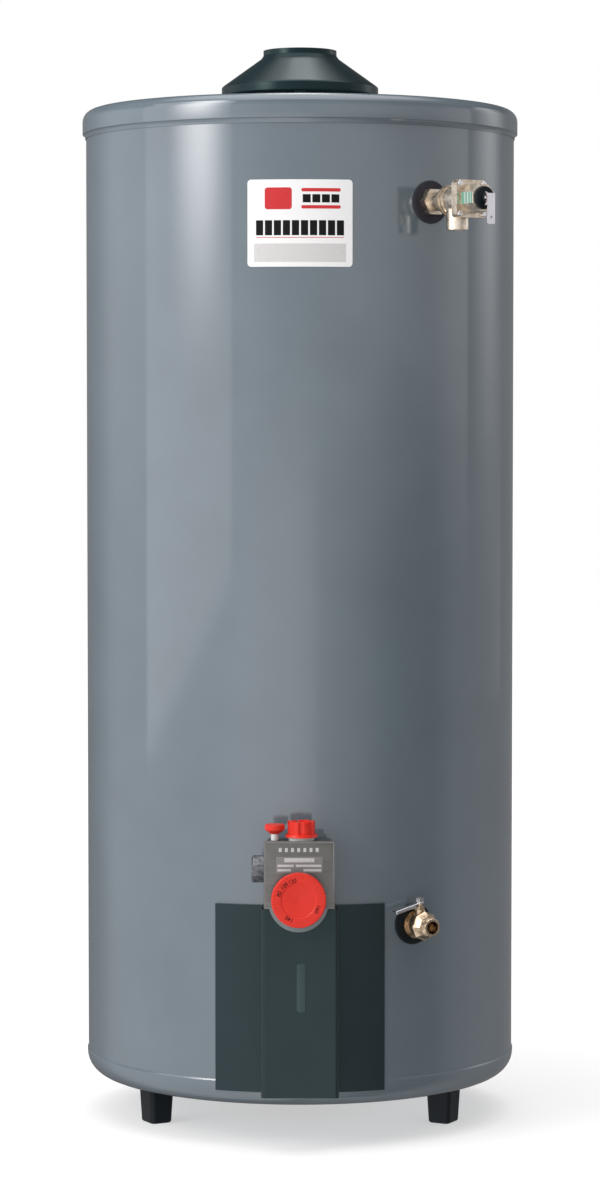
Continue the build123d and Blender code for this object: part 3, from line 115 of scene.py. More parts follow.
def inset(outline, distance):
    """A counter-clockwise outline moved inward by a distance."""
    moved = []
    for i, point in enumerate(outline):
        before = (point - outline[i - 1]).normalized()
        after = (outline[(i + 1) % len(outline)] - point).normalized()
        inward = Vector((-before.y - after.y, before.x + after.x)).normalized()
        moved.append(point + inward * distance / max(MITRE_LIMIT, inward.dot(Vector((-after.y, after.x)))))
    return moved


def box_outline(x0, y0, x1, y1):
    """Corners of an upright rectangle, counter-clockwise."""
    return [(x0, y0), (x1, y0), (x1, y1), (x0, y1)]


def disc_outline(radius, steps):
    """A circle as a counter-clockwise outline."""
    return [
        Vector((radius * cos(2 * pi * k / steps), radius * sin(2 * pi * k / steps)))
        for k in range(steps)
    ]


def stack(bm, place, layers):
    """Closed skin through outlines of the same count at rising heights, capped at both ends."""
    rings = [
        [bm.verts.new(place @ Vector((point[0], point[1], height))) for point in outline]
        for outline, height in layers
    ]
    count = len(rings[0])
    for lower, upper in zip(rings, rings[1:]):
        for i in range(count):
            j = (i + 1) % count
            bm.faces.new((lower[i], lower[j], upper[j], upper[i]))
    bm.faces.new(list(reversed(rings[0])))
    bm.faces.new(rings[-1])


def slab(bm, place, outline, low, high, edge):
    """Flat piece with its upper edge rounded off."""
    layers = [(outline, low)]
    for step in range(4):
        turn = step * pi / 6
        layers.append((inset(outline, edge * (1 - cos(turn))), high - edge * (1 - sin(turn))))
    stack(bm, place, layers)


def ring_slab(bm, place, outline, width, low, high):
    """A flat frame that follows an outline, on its inner side."""
    inner = inset(outline, width)
    loops = [
        [bm.verts.new(place @ Vector((point[0], point[1], height))) for point in line]
        for line, height in ((outline, low), (outline, high), (inner, high), (inner, low))
    ]
    count = len(outline)
    for one, two in zip(loops, loops[1:] + loops[:1]):
        for i in range(count):
            j = (i + 1) % count
            bm.faces.new((one[i], one[j], two[j], two[i]))


def band_slab(bm, place, outer, inner, low, high):
    """A flat strip between two lines of the same count that run the same way."""
    rim = outer + inner[::-1]
    rings = [
        [bm.verts.new(place @ Vector((point.x, point.y, height))) for point in rim]
        for height in (low, high)
    ]
    count = len(rim)
    for i in range(count):
        j = (i + 1) % count
        bm.faces.new((rings[0][i], rings[0][j], rings[1][j], rings[1][i]))
    for i in range(len(outer) - 1):
        for ring in rings:
            bm.faces.new((ring[i], ring[i + 1], ring[count - 2 - i], ring[count - 1 - i]))


def lathe(bm, place, outline, steps=SMALL_ROUND):
    """A closed outline of (radius, height) points turned about the placement's Z axis."""
    rings = []
    for k in range(steps):
        turn = 2 * pi * k / steps
        rings.append([
            bm.verts.new(place @ Vector((point[0] * cos(turn), point[0] * sin(turn), point[1])))
            for point in outline
        ])
    count = len(outline)
    for k in range(steps):
        one, two = rings[k], rings[(k + 1) % steps]
        for i in range(count):
            j = (i + 1) % count
            bm.faces.new((one[i], two[i], two[j], one[j]))


def sheet_outline(points, thickness, bend):
    """Outline of a bent sheet: a line of (radius, height) points and its copy a thickness further in."""
    line = [Vector(point) for point in points]
    other = []
    for i, point in enumerate(line):
        before = (point - line[max(i - 1, 0)]) if i else (line[1] - line[0])
        after = (line[i + 1] - point) if i + 1 < len(line) else before
        side = before.normalized() + after.normalized()
        inward = Vector((-side.y, side.x)).normalized()
        mitre = inward.dot(Vector((-after.y, after.x)).normalized())
        other.append(point + inward * thickness / max(MITRE_LIMIT, mitre))
    return rounded(line + other[::-1], bend)


def wrapped(bm, outline, inner_r, outer_r):
    """A flat outline bent round the jacket as a thin closed sheet; its x becomes distance round the case."""
    def ring(radius):
        return [
            bm.verts.new((radius * sin(p[0] / JACKET_R), -radius * cos(p[0] / JACKET_R), p[1]))
            for p in outline
        ]
    inner, outer = ring(inner_r), ring(outer_r)
    count = len(outline)
    for i in range(count):
        j = (i + 1) % count
        bm.faces.new((inner[i], inner[j], outer[j], outer[i]))
    for i in range(count // 2 - 1):
        low, high = i, count - 1 - i
        bm.faces.new((outer[low], outer[low + 1], outer[high - 1], outer[high]))
        bm.faces.new((inner[high], inner[high - 1], inner[low + 1], inner[low]))


def mirror_outline(x0, z0, x1, z1, corner):
    """Rounded rectangle as matching lower and upper rows of points, for wrapped()."""
    lower, upper = [], []
    bend = [corner * (1 - cos(pi / 2 * k / CORNER_STEPS)) for k in range(CORNER_STEPS)]
    flat = max(1, round((x1 - x0 - 2 * corner) / WRAP_STEP))
    across = [x0 + cut for cut in bend]
    across += [x0 + corner + (x1 - x0 - 2 * corner) * k / flat for k in range(flat + 1)]
    across += [x1 - cut for cut in bend[::-1]]
    for x in across:
        reach = min(x - x0, x1 - x, corner)
        drop = corner - sqrt(max(corner ** 2 - (corner - reach) ** 2, 0.0))
        lower.append(Vector((x, z0 + drop)))
        upper.append(Vector((x, z1 - drop)))
    return lower + upper[::-1]


def make(name, bm, material, body, replaces=(), crease=32):
    """Turn a bmesh into a finished piece that rides on a body."""
    bmesh.ops.remove_doubles(bm, verts=bm.verts, dist=1e-6)
    bmesh.ops.recalc_face_normals(bm, faces=bm.faces)
    mesh = bpy.data.meshes.new(name)
    bm.to_mesh(mesh)
    bm.free()
    mesh.shade_smooth()
    mesh.set_sharp_from_angle(angle=radians(crease))
    mesh.materials.append(material)
    piece = bpy.data.objects.new(name, mesh)
    bpy.context.scene.collection.objects.link(piece)
    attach(piece, body)
    if replaces:
        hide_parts(*replaces)
    return piece


# ---------------------------------------------------------------- material helper
MIX_FACTOR, MIX_ONE, MIX_TWO = 0, 6, 7  # the mix node's sockets when it mixes colours
MIX_RESULT = 2


class Finish:
    """A procedural material: one Principled shader and the textures that vary it."""

    def __init__(self, name, rough, metal=0.0, **constants):
        self.material = bpy.data.materials.new(name)
        self.material.use_nodes = True
        self.nodes = self.material.node_tree.nodes
        self.nodes.clear()
        self.shader = self.nodes.new("ShaderNodeBsdfPrincipled")
        self.join(self.shader, "BSDF", self.nodes.new("ShaderNodeOutputMaterial"), "Surface")
        self.where = self.nodes.new("ShaderNodeTexCoord")
        self.shader.inputs["Metallic"].default_value = metal
        self.shader.inputs["Roughness"].default_value = rough
        for socket, value in constants.items():
            self.shader.inputs[socket.replace("_", " ")].default_value = value

    def join(self, source, output, target, socket):
        self.material.node_tree.links.new(source.outputs[output], target.inputs[socket])

    def stretched(self, stretch):
        """Object coordinates, scaled apart along the axes."""
        mapping = self.nodes.new("ShaderNodeMapping")
        mapping.inputs["Scale"].default_value = stretch
        self.join(self.where, "Object", mapping, "Vector")
        return mapping

    def noise(self, size, detail=3.0, stretch=(1, 1, 1)):
        """Noise whose features are about a size, in metres."""
        texture = self.nodes.new("ShaderNodeTexNoise")
        texture.inputs["Scale"].default_value = 1 / size
        texture.inputs["Detail"].default_value = detail
        self.join(self.stretched(stretch), "Vector", texture, "Vector")
        return texture, "Fac"

    def cells(self, size):
        """Crystal-like cells about a size across."""
        texture = self.nodes.new("ShaderNodeTexVoronoi")
        texture.inputs["Scale"].default_value = 1 / size
        self.join(self.stretched((1, 1, 1)), "Vector", texture, "Vector")
        return texture, "Color"

    def ramp(self, texture, low, high, start=0.3, end=0.7):
        """A texture's middle range spread over two values."""
        node = self.nodes.new("ShaderNodeMapRange")
        for socket, value in (("From Min", start), ("From Max", end), ("To Min", low), ("To Max", high)):
            node.inputs[socket].default_value = value
        self.join(*texture, node, "Value")
        return node, "Result"

    def colours(self, texture, one, two, start=0.3, end=0.7):
        """Base colour that runs from one to two with a texture."""
        mix = self.nodes.new("ShaderNodeMix")
        mix.data_type = "RGBA"
        mix.inputs[MIX_ONE].default_value = (*one, 1)
        mix.inputs[MIX_TWO].default_value = (*two, 1)
        self.join(*self.ramp(texture, 0.0, 1.0, start, end), mix, MIX_FACTOR)
        self.join(mix, MIX_RESULT, self.shader, "Base Color")
        return self

    def roughness(self, texture, low, high):
        """Roughness that varies with a texture."""
        self.join(*self.ramp(texture, low, high), self.shader, "Roughness")
        return self

    def relief(self, texture, depth, strength=1.0):
        """Surface relief of a depth in metres, added to any relief before it."""
        bump = self.nodes.new("ShaderNodeBump")
        bump.inputs["Distance"].default_value = depth
        bump.inputs["Strength"].default_value = strength
        self.join(*texture, bump, "Height")
        earlier = self.shader.inputs["Normal"].links
        if earlier:
            self.material.node_tree.links.new(earlier[0].from_socket, bump.inputs["Normal"])
        self.join(bump, "Normal", self.shader, "Normal")
        return self


def shade(colour, factor):
    """A colour made lighter or darker."""
    return tuple(min(channel * factor, 1.0) for channel in colour)


def painted(name, colour, rough, peel, gloss, spread=0.05, sheen=(1, 1, 1)):
    """Baked paint on sheet steel: faint mottling, orange peel and the tint of its gloss."""
    look = Finish(name, rough, IOR=1.5, Specular_IOR_Level=gloss, Specular_Tint=(*sheen, 1))
    look.colours(look.noise(0.11, 5), shade(colour, 1 - spread), shade(colour, 1 + spread))
    look.roughness(look.noise(0.05, 4), rough * 0.9, rough * 1.12)
    look.relief(look.noise(0.0035, 2), peel)
    return look.material


def moulded(name, colour, rough, grain, spread=0.08, gloss=0.3):
    """Moulded plastic with a fine grain."""
    look = Finish(name, rough, IOR=1.47, Specular_IOR_Level=gloss)
    look.colours(look.noise(0.012, 4), shade(colour, 1 - spread), shade(colour, 1 + spread))
    look.roughness(look.noise(0.006, 3), rough * 0.85, rough * 1.15)
    look.relief(look.noise(0.0009, 3), grain)
    return look.material


def cast_metal(name, colour, rough, pits, tarnish):
    """Cast metal, darker where it has tarnished, with a sandy skin."""
    look = Finish(name, rough, metal=1.0)
    look.colours(look.noise(0.007, 6), tarnish, colour, 0.36, 0.56)
    look.roughness(look.noise(0.004, 5), rough * 0.7, rough * 1.4)
    look.relief(look.noise(0.0011, 4), pits)
    return look.material


def drawn_metal(name, colour, rough, stretch, spread=0.12):
    """Bare metal with fine drawing or brushing lines."""
    look = Finish(name, rough, metal=1.0)
    look.colours(look.noise(0.03, 5), shade(colour, 1 - spread), shade(colour, 1 + spread))
    look.roughness(look.noise(0.002, 4, stretch), rough * 0.75, rough * 1.3)
    look.relief(look.noise(0.0008, 3, stretch), 0.00003)
    return look.material


def galvanised(name, colour, rough):
    """Zinc coated steel with its spangle."""
    look = Finish(name, rough, metal=1.0)
    look.colours(look.cells(0.009), shade(colour, 0.8), shade(colour, 1.12), 0.1, 0.9)
    look.roughness(look.cells(0.009), rough * 0.8, rough * 1.3)
    look.relief(look.noise(0.002, 3), 0.00004)
    return look.material


def fibre(name, colour):
    """Pale blown or matted insulation."""
    look = Finish(name, 0.9)
    look.colours(look.noise(0.004, 6), shade(colour, 0.7), shade(colour, 1.1))
    look.relief(look.noise(0.003, 6), 0.0012)
    return look.material


def printed(name, colour, rough=0.45):
    """Ink on a label or a plate, thin in places."""
    look = Finish(name, rough, IOR=1.45, Specular_IOR_Level=0.15)
    look.colours(look.noise(0.0012, 4), shade(colour, 0.88), shade(colour, 1.1))
    look.relief(look.noise(0.0006, 2), 0.00001)
    return look.material


def clear_glass(name):
    """Sight glass, faintly smoked."""
    look = Finish(name, 0.05, Transmission_Weight=1.0, IOR=1.5)
    look.colours(look.noise(0.02, 3), (0.82, 0.88, 0.88), (0.93, 0.96, 0.96))
    look.roughness(look.noise(0.006, 4), 0.03, 0.12)
    return look.material


# ---------------------------------------------------------------- materials
# Colours are in linear light.
CASE_GREY = (0.126, 0.165, 0.192)
TEAL_BLACK = (0.019, 0.025, 0.031)
TEAL_SHEEN = (0.62, 1.0, 0.97)
HOOD_BLACK = (0.007, 0.019, 0.023)
HOOD_SHEEN = (0.72, 1.0, 1.0)
BRASS = (0.66, 0.52, 0.37)
BRASS_TARNISH = (0.36, 0.27, 0.185)
PALE_BRASS = (0.86, 0.77, 0.65)
PALE_TARNISH = (0.66, 0.55, 0.43)
SIGNAL_RED = (0.72, 0.030, 0.016)

case_paint = painted("case_paint", CASE_GREY, 0.09, 0.000008, 1.0)
dark_paint = painted("dark_paint", TEAL_BLACK, 0.3, 0.00002, 0.35, 0.1, TEAL_SHEEN)
hood_paint = painted("hood_paint", HOOD_BLACK, 0.24, 0.00001, 0.22, 0.1, HOOD_SHEEN)
# The door's teal made lighter for the slot's pressing: painted light, not a paint of its own.
slot_painted_light = painted("slot_painted_light", (0.036, 0.066, 0.072), 0.45, 0.00002, 0.3)
black_plastic = moulded("black_plastic", (0.010, 0.014, 0.017), 0.45, 0.00002, 0.08, 0.16)
zinc_steel = galvanised("zinc_steel", (0.56, 0.57, 0.59), 0.34)
insulation = fibre("insulation", (0.75, 0.66, 0.40))
label_paper = moulded("label_paper", (0.90, 0.90, 0.895), 0.35, 0.000004, 0.012)
inner_plastic = moulded("inner_plastic", (0.72, 0.74, 0.72), 0.45, 0.00002)
bare_aluminium = drawn_metal("bare_aluminium", (0.72, 0.72, 0.73), 0.32, (1, 1, 0.04))
copper = drawn_metal("copper", (0.72, 0.40, 0.25), 0.28, (1, 1, 0.05))
glass = clear_glass("glass")
control_casting = cast_metal("control_casting", (0.20, 0.21, 0.22), 0.45, 0.00008, (0.10, 0.105, 0.115))
control_plate = drawn_metal("control_plate", (0.17, 0.17, 0.162), 0.42, (0.03, 1, 1))
red_plastic = moulded("red_plastic", SIGNAL_RED, 0.33, 0.00002, 0.05)
white_plastic = moulded("white_plastic", (0.80, 0.82, 0.80), 0.36, 0.00002, 0.03)
valve_brass = cast_metal("valve_brass", BRASS, 0.24, 0.00006, BRASS_TARNISH)
relief_brass = cast_metal("relief_brass", PALE_BRASS, 0.32, 0.00005, PALE_TARNISH)
rosette_plastic = moulded("rosette_plastic", (0.030, 0.029, 0.038), 0.5, 0.00002, 0.1, 0.2)
plated_steel = drawn_metal("plated_steel", (0.74, 0.74, 0.77), 0.14, (1, 1, 0.1), 0.06)
ink_black = printed("ink_black", (0.008, 0.008, 0.009))
ink_red = printed("ink_red", (0.62, 0.045, 0.05))
ink_grey = printed("ink_grey", (0.66, 0.65, 0.64))
ink_white = printed("ink_white", (0.52, 0.54, 0.53))
ink_plate = printed("ink_plate", (0.22, 0.22, 0.215))
ink_dial = printed("ink_dial", (0.05, 0.006, 0.006))
ink_rim = printed("ink_rim", (0.22, 0.27, 0.28))
ink_green = printed("ink_green", (0.16, 0.34, 0.25))

SLOTS = {
    "case_paint": case_paint, "dark_paint": dark_paint, "black_plastic": black_plastic,
    "zinc_steel": zinc_steel, "insulation": insulation, "label_paper": label_paper,
    "inner_plastic": inner_plastic, "bare_aluminium": bare_aluminium, "copper": copper,
    "glass": glass, "control_casting": control_casting, "control_plate": control_plate,
    "red_plastic": red_plastic, "white_plastic": white_plastic, "valve_brass": valve_brass,
    "plated_steel": plated_steel,
}
NODE_LOOKS = {  # nodes that differ in shade from the rest of their slot
    "relief_body": relief_brass, "relief_bonnet": relief_brass, "relief_rosette": rosette_plastic,
}
for part in frame["record"]["subparts"]:
    node = frame["nodes"][part["node"]]
    look = NODE_LOOKS.get(part["node"], SLOTS[part["material_slot"]])
    for index in range(len(node.material_slots)):
        node.material_slots[index].material = look


# ---------------------------------------------------------------- case
SHEET_T = 1.0 * MM
HOOD_T = 1.2 * MM
HOOD_STEPS = 128
WALL_BEND = 0.6 * MM  # roundness of the pans' corners
DOORWAY_COLUMNS = 6  # columns of the jacket left out each side of the front
DOORWAY_LOW = 104 * MM
DOORWAY_HIGH = 248 * MM


def jacket():
    """The round steel jacket, open behind the door."""
    bm = bmesh.new()
    pitch = 360 / ROUND
    heights = [jacket_low.z, DOORWAY_LOW, DOORWAY_HIGH, jacket_high.z]
    out, back = JACKET_R, JACKET_R - SHEET_T
    grid = {
        (column, row, radius): bm.verts.new(around(column * pitch, radius, height))
        for column in range(ROUND)
        for row, height in enumerate(heights)
        for radius in (out, back)
    }

    def face(*keys):
        bm.faces.new([grid[key] for key in keys])

    def ledge(column, row):
        after = (column + 1) % ROUND
        face((column, row, out), (after, row, out), (after, row, back), (column, row, back))

    for column in range(ROUND):
        after = (column + 1) % ROUND
        doorway = column < DOORWAY_COLUMNS or column >= ROUND - DOORWAY_COLUMNS
        for row in range(len(heights) - 1):
            if row == 1 and doorway:
                continue
            for side in (out, back):
                face((column, row, side), (after, row, side), (after, row + 1, side), (column, row + 1, side))
        for row in (0, 1, 2, 3) if doorway else (0, 3):
            ledge(column, row)
    for edge in (ROUND - DOORWAY_COLUMNS, DOORWAY_COLUMNS):
        face((edge, 1, out), (edge, 2, out), (edge, 2, back), (edge, 1, back))
    make("jacket_skin", bm, case_paint, "heater", ["outer_jacket"])


SEAM_W = 26 * MM
SEAM_T = 0.9 * MM
SEAM_FROM_BOTTOM = 16 * MM
SEAM_FROM_TOP = 26 * MM
RIVETS = 14
RIVET_R = 2.4 * MM
RIVET_STEPS = 20


def back_seam():
    """Overlapping edge of the jacket's sheet at the back, and its row of rivets."""
    low, high = jacket_low.z + SEAM_FROM_BOTTOM, jacket_high.z - SEAM_FROM_TOP
    bm = bmesh.new()
    strip = box_outline(-SEAM_W / 2, low, SEAM_W / 2, high)
    back = facing((0, 1), 0)
    slab(bm, back, rounded(strip, SEAM_T), -SEAM_T, SEAM_T, SEAM_T * 0.6)
    make("back_seam", bm, case_paint, "heater")
    bm = bmesh.new()
    profile = [
        (0, 0), (RIVET_R, 0), (RIVET_R * 0.9, RIVET_R * 0.45), (RIVET_R * 0.5, RIVET_R * 0.75),
        (0, RIVET_R * 0.8),
    ]
    for k in range(RIVETS):
        height = low + (high - low) * (k + 0.5) / RIVETS
        lathe(bm, facing((0, 1), height, JACKET_R + SEAM_T), profile, RIVET_STEPS)
    make("seam_rivets", bm, zinc_steel, "heater")


def top_pan():
    """The lid: a skirt hollowed under its hem, a rounded shoulder and a top sunk round the flue."""
    low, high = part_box("top_pan")
    skirt_r, top_z = high.x, high.z
    hem = 7.5 * MM
    shoulder = 18.0 * MM
    tuck = skirt_r - JACKET_R - 1.3 * MM
    hole_r = 54.0 * MM
    sunk_r = 92.0 * MM
    sunk = 2.0 * MM
    bend = 6.0 * MM
    line = [
        (skirt_r - tuck * cos(turn), low.z + hem * sin(turn))
        for turn in [k * pi / 16 for k in range(9)]
    ]
    line += [
        (skirt_r - shoulder * (1 - cos(turn)), top_z - shoulder * (1 - sin(turn)))
        for turn in [k * pi / 16 for k in range(9)]
    ]
    line += [
        (sunk_r + bend, top_z), (sunk_r, top_z - sunk),
        (hole_r + bend, top_z - sunk), (hole_r, top_z),
    ]
    bm = bmesh.new()
    lathe(bm, TANK_AXIS, sheet_outline(line, SHEET_T, WALL_BEND), ROUND)
    make("top_pan_skin", bm, case_paint, "heater", ["top_pan"])


def base_pan():
    """The base: a flat bottom round the air opening, a turned-up edge and a lip over the jacket."""
    low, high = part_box("base_pan")
    lip_r = high.x
    edge = 34.0 * MM
    bevel = 2.4 * MM
    hole_r = 120.0 * MM
    lip_rise, lip_slope = 3.0 * MM, 4.0 * MM
    line = [(hole_r, low.z + lip_rise), (hole_r + lip_slope, low.z)]
    line += [
        (lip_r - edge * (1 - sin(turn)), low.z + edge * (1 - cos(turn)))
        for turn in [k * pi / 20 for k in range(11)]
    ]
    line += [(lip_r, high.z - bevel), (lip_r - 1.2 * SHEET_T, high.z)]
    bm = bmesh.new()
    lathe(bm, TANK_AXIS, sheet_outline(line, SHEET_T, 0.2 * WALL_BEND), ROUND)
    make("base_pan_skin", bm, case_paint, "heater", ["base_pan"])


def draft_hood():
    """The spun hood: a rolled lip, a cone and a short collar for the vent pipe."""
    low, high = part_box("draft_hood")
    lip_r = high.x
    cone_r = lip_r - 2.5 * MM
    cone_z = low.z + 16 * MM
    collar_r = mounts["vent_collar"]["dims"]["r_mm"] * MM
    collar_z = high.z - 8 * MM
    line = [
        (lip_r - 1.4 * MM, low.z), (lip_r, low.z + 1.6 * MM), (lip_r, cone_z - 2.5 * MM), (cone_r, cone_z),
        (collar_r + 4 * MM, collar_z - 5.5 * MM), (collar_r, collar_z), (collar_r, high.z),
    ]
    bm = bmesh.new()
    lathe(bm, TANK_AXIS, sheet_outline(line, HOOD_T, 1.5 * MM), HOOD_STEPS)
    make("hood_skin", bm, hood_paint, "heater", ["draft_hood"])


jacket()
back_seam()
top_pan()
base_pan()
draft_hood()


# ---------------------------------------------------------------- rating label
PRINT_T = 0.1 * MM
label_low, label_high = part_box("rating_label")
LABEL_T = 0.4 * MM
LABEL_R = JACKET_R + LABEL_T
LABEL_HALF = 77.9 * MM
LABEL_CORNER = 5.5 * MM
LABEL_SEAT = 0.02 * MM  # air under the label, so that it doesn't share a face with the jacket
BAR_CORNER = 0.6        # millimetres, as the blocks are given


def label():
    """The label on the front: the white sheet that takes the generic blocks in place of words."""
    bm = bmesh.new()
    sheet = mirror_outline(-LABEL_HALF, label_low.z, LABEL_HALF, label_high.z, LABEL_CORNER)
    wrapped(bm, sheet, JACKET_R + LABEL_SEAT, LABEL_R)
    make("label_sheet", bm, label_paper, "heater", ["rating_label"])


def label_print(name, ink, blocks):
    """Printed blocks in millimetres: left, bottom, right and top edge and the corners' radius."""
    bm = bmesh.new()
    for x0, z0, x1, z1, corner in blocks:
        low = label_low.z
        patch = mirror_outline(x0 * MM, low + z0 * MM, x1 * MM, low + z1 * MM, corner * MM)
        wrapped(bm, patch, LABEL_R, LABEL_R + PRINT_T)
    make(name, bm, ink, "heater")


def bar_row(x0, x1, z0, z1, count, gap):
    """A row of equal upright blocks between two edges."""
    step = (x1 - x0 + gap) / count
    return [(x0 + k * step, z0, x0 + (k + 1) * step - gap, z1, BAR_CORNER) for k in range(count)]


label()
label_print("label_bold_row", ink_black, bar_row(-65, 65, 46, 68, 10, 2.6))
label_print("label_small_rows", ink_black, bar_row(4, 58, 94, 106, 4, 2.4))
label_print("label_stripes", ink_red, [
    (-52, 84, -12, 116, 4), (2, 110, 60, 115, 2), (2, 85, 60, 90, 2), (-65, 42.4, 65, 43.3, 0.2),
])
label_print("label_box", ink_grey, [(-68, 7, 68, 34, BAR_CORNER)])


# ---------------------------------------------------------------- door
DOOR_FACE = -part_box("access_door")[0].y
SLOT_X = 1.5 * MM
SLOT_W = 13.4 * MM
SLOT_LOW = 213.3 * MM
SLOT_HIGH = 286.5 * MM


def door_slot():
    """The stadium-shaped pressing in the door's channel, in a lighter copy of the door's paint: painted light
    on the pressing.
    """
    bm = bmesh.new()
    pressing = box_outline(SLOT_X - SLOT_W / 2, SLOT_LOW, SLOT_X + SLOT_W / 2, SLOT_HIGH)
    outline = rounded(pressing, SLOT_W / 2, 10)
    slab(bm, facing((0, -1), 0, DOOR_FACE), outline, -0.9 * MM, -0.15 * MM, 0.4 * MM)
    make("door_slot", bm, slot_painted_light, "door")


door_slot()


# ---------------------------------------------------------------- gas control
plate_low, plate_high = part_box("control_face_plate")
PLATE_FACE = -plate_low.y
LOBE_R = 44 * MM
LOBE_X = -2 * MM
LOBE_Z = plate_low.z + LOBE_R
LOBE_STEPS = 40
SQUARE_Z = 370.7 * MM
PLATE_T = 2.0 * MM
BORDER_IN = 1.0 * MM
BORDER_W = 1.5 * MM
BORDER_T = 0.15 * MM
RIM_IN = 0.8 * MM
RIM_W = 8.2 * MM
RIM_T = 0.18 * MM
RIM_START = 192      # degrees, over the lobe's lower part
RIM_SWEEP = 156
RIM_STEPS = 36
FRONT = facing((0, -1), 0, 0)


def plate_outline():
    """The face plate's edge: a square with a round lobe hanging below it."""
    reach = asin((SQUARE_Z - LOBE_Z) / LOBE_R)
    lobe = [
        Vector((LOBE_X + LOBE_R * cos(turn), LOBE_Z + LOBE_R * sin(turn)))
        for turn in [pi - reach + (pi + 2 * reach) * k / LOBE_STEPS for k in range(LOBE_STEPS + 1)]
    ]
    square = [
        Vector((plate_high.x, SQUARE_Z)), Vector((plate_high.x, plate_high.z)),
        Vector((plate_low.x, plate_high.z)), Vector((plate_low.x, SQUARE_Z)),
    ]
    return lobe + square


def lobe_arc(reach):
    """Line round the lower part of the lobe, a distance inside its edge."""
    turns = [radians(RIM_START + RIM_SWEEP * k / RIM_STEPS) for k in range(RIM_STEPS + 1)]
    return [
        Vector((LOBE_X + (LOBE_R - reach) * cos(turn), LOBE_Z + (LOBE_R - reach) * sin(turn)))
        for turn in turns
    ]


def face_plate():
    """The grey face plate, its thin border and the light rim round the dial."""
    outline = plate_outline()
    bm = bmesh.new()
    slab(bm, FRONT, outline, PLATE_FACE - PLATE_T, PLATE_FACE, 0.5 * MM)
    make("face_plate", bm, control_plate, "heater", ["control_face_plate"])
    bm = bmesh.new()
    ring_slab(bm, FRONT, inset(outline, BORDER_IN), BORDER_W, PLATE_FACE, PLATE_FACE + BORDER_T)
    make("plate_border", bm, ink_plate, "heater")
    bm = bmesh.new()
    band_slab(bm, FRONT, lobe_arc(RIM_IN), lobe_arc(RIM_IN + RIM_W), PLATE_FACE, PLATE_FACE + RIM_T)
    make("plate_rim", bm, ink_rim, "heater")


def plate_print(name, ink, blocks, lift):
    """Printed blocks on the face plate in millimetres, from its middle and down from its top edge."""
    bm = bmesh.new()
    middle = (plate_low.x + plate_high.x) / 2
    for x0, drop0, x1, drop1 in blocks:
        low, high = plate_high.z - drop1 * MM, plate_high.z - drop0 * MM
        block = box_outline(middle + x0 * MM, low, middle + x1 * MM, high)
        slab(bm, FRONT, rounded(block, 0.4 * MM, 2), PLATE_FACE, PLATE_FACE + lift, 0.02 * MM)
    make(name, bm, ink, "heater")


face_plate()
plate_print("plate_bars", ink_white, [(x, 10, x + 4.2, 16) for x in range(-30, 25, 9)], 0.1 * MM)
plate_print("plate_panel", ink_plate, [(-34, 23, 34, 47)], 0.08 * MM)
plate_print("plate_panel_bars", ink_white, [
    (-22, 25, 22, 31), (-32, 34.5, -8, 38), (-5, 34.5, 32, 38), (-32, 41, -12, 44.5), (6, 41, 32, 44.5),
], 0.14 * MM)

dial_low, dial_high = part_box("temperature_dial")
DIAL_R = (dial_high.x - dial_low.x) / 2
DIAL_X = (dial_high.x + dial_low.x) / 2
DIAL_Z = (dial_high.z + dial_low.z) / 2
DIAL_FACE = -dial_low.y
DIAL_BACK = DIAL_FACE - 17 * MM
DIAL_WELL_R = 25 * MM
DIAL_GRIPS = 72      # ribs round the dial's wall
GRIP_R = 0.5 * MM
GRIP_L = 12.5 * MM
DIAL_TICKS = 22
TICK_START = -12     # degrees, like the pitch
TICK_PITCH = 10
TICK_W = 0.44 * MM
NUMBER_SIZE = 8.4 * MM
NUMBER_IN = 10.0 * MM
NUMBERS = (("80", 160), ("100", 134), ("120", 108), ("140", 243), ("160", -24))  # with their bearings
DIAL = facing((0, -1), DIAL_Z, 0) @ Matrix.Translation((DIAL_X, 0, 0))


def dial():
    """The temperature dial: a hollow cap with a finely ribbed wall and a sunk middle."""
    bm = bmesh.new()
    wall = 3 * MM
    sunk = 0.9 * MM
    hub, spindle, spindle_end = 9 * MM, 5 * MM, DIAL_BACK - 26 * MM
    under = DIAL_FACE - 5 * MM
    profile = rounded([
        (0, spindle_end), (spindle, spindle_end), (spindle, DIAL_BACK), (hub, DIAL_BACK), (hub, under),
        (DIAL_R - wall, under), (DIAL_R - wall, DIAL_BACK), (DIAL_R, DIAL_BACK),
        (DIAL_R, DIAL_FACE - 0.6 * MM), (DIAL_R - 1.6 * MM, DIAL_FACE), (DIAL_WELL_R + 1.2 * MM, DIAL_FACE),
        (DIAL_WELL_R, DIAL_FACE - sunk), (0, DIAL_FACE - sunk),
    ], 0.5 * MM, 3)
    lathe(bm, DIAL, profile, 2 * DIAL_GRIPS)
    make("dial_cap", bm, red_plastic, "dial", ["temperature_dial"], crease=40)
    bm = bmesh.new()
    for k in range(DIAL_GRIPS):
        turn = 2 * pi * k / DIAL_GRIPS
        spot = Matrix.Translation((DIAL_R * cos(turn), DIAL_R * sin(turn), DIAL_BACK + 1.5 * MM))
        rib = disc_outline(GRIP_R, 8)
        stack(bm, DIAL @ spot, [(rib, 0), (rib, GRIP_L)])
    make("dial_ribs", bm, red_plastic, "dial")


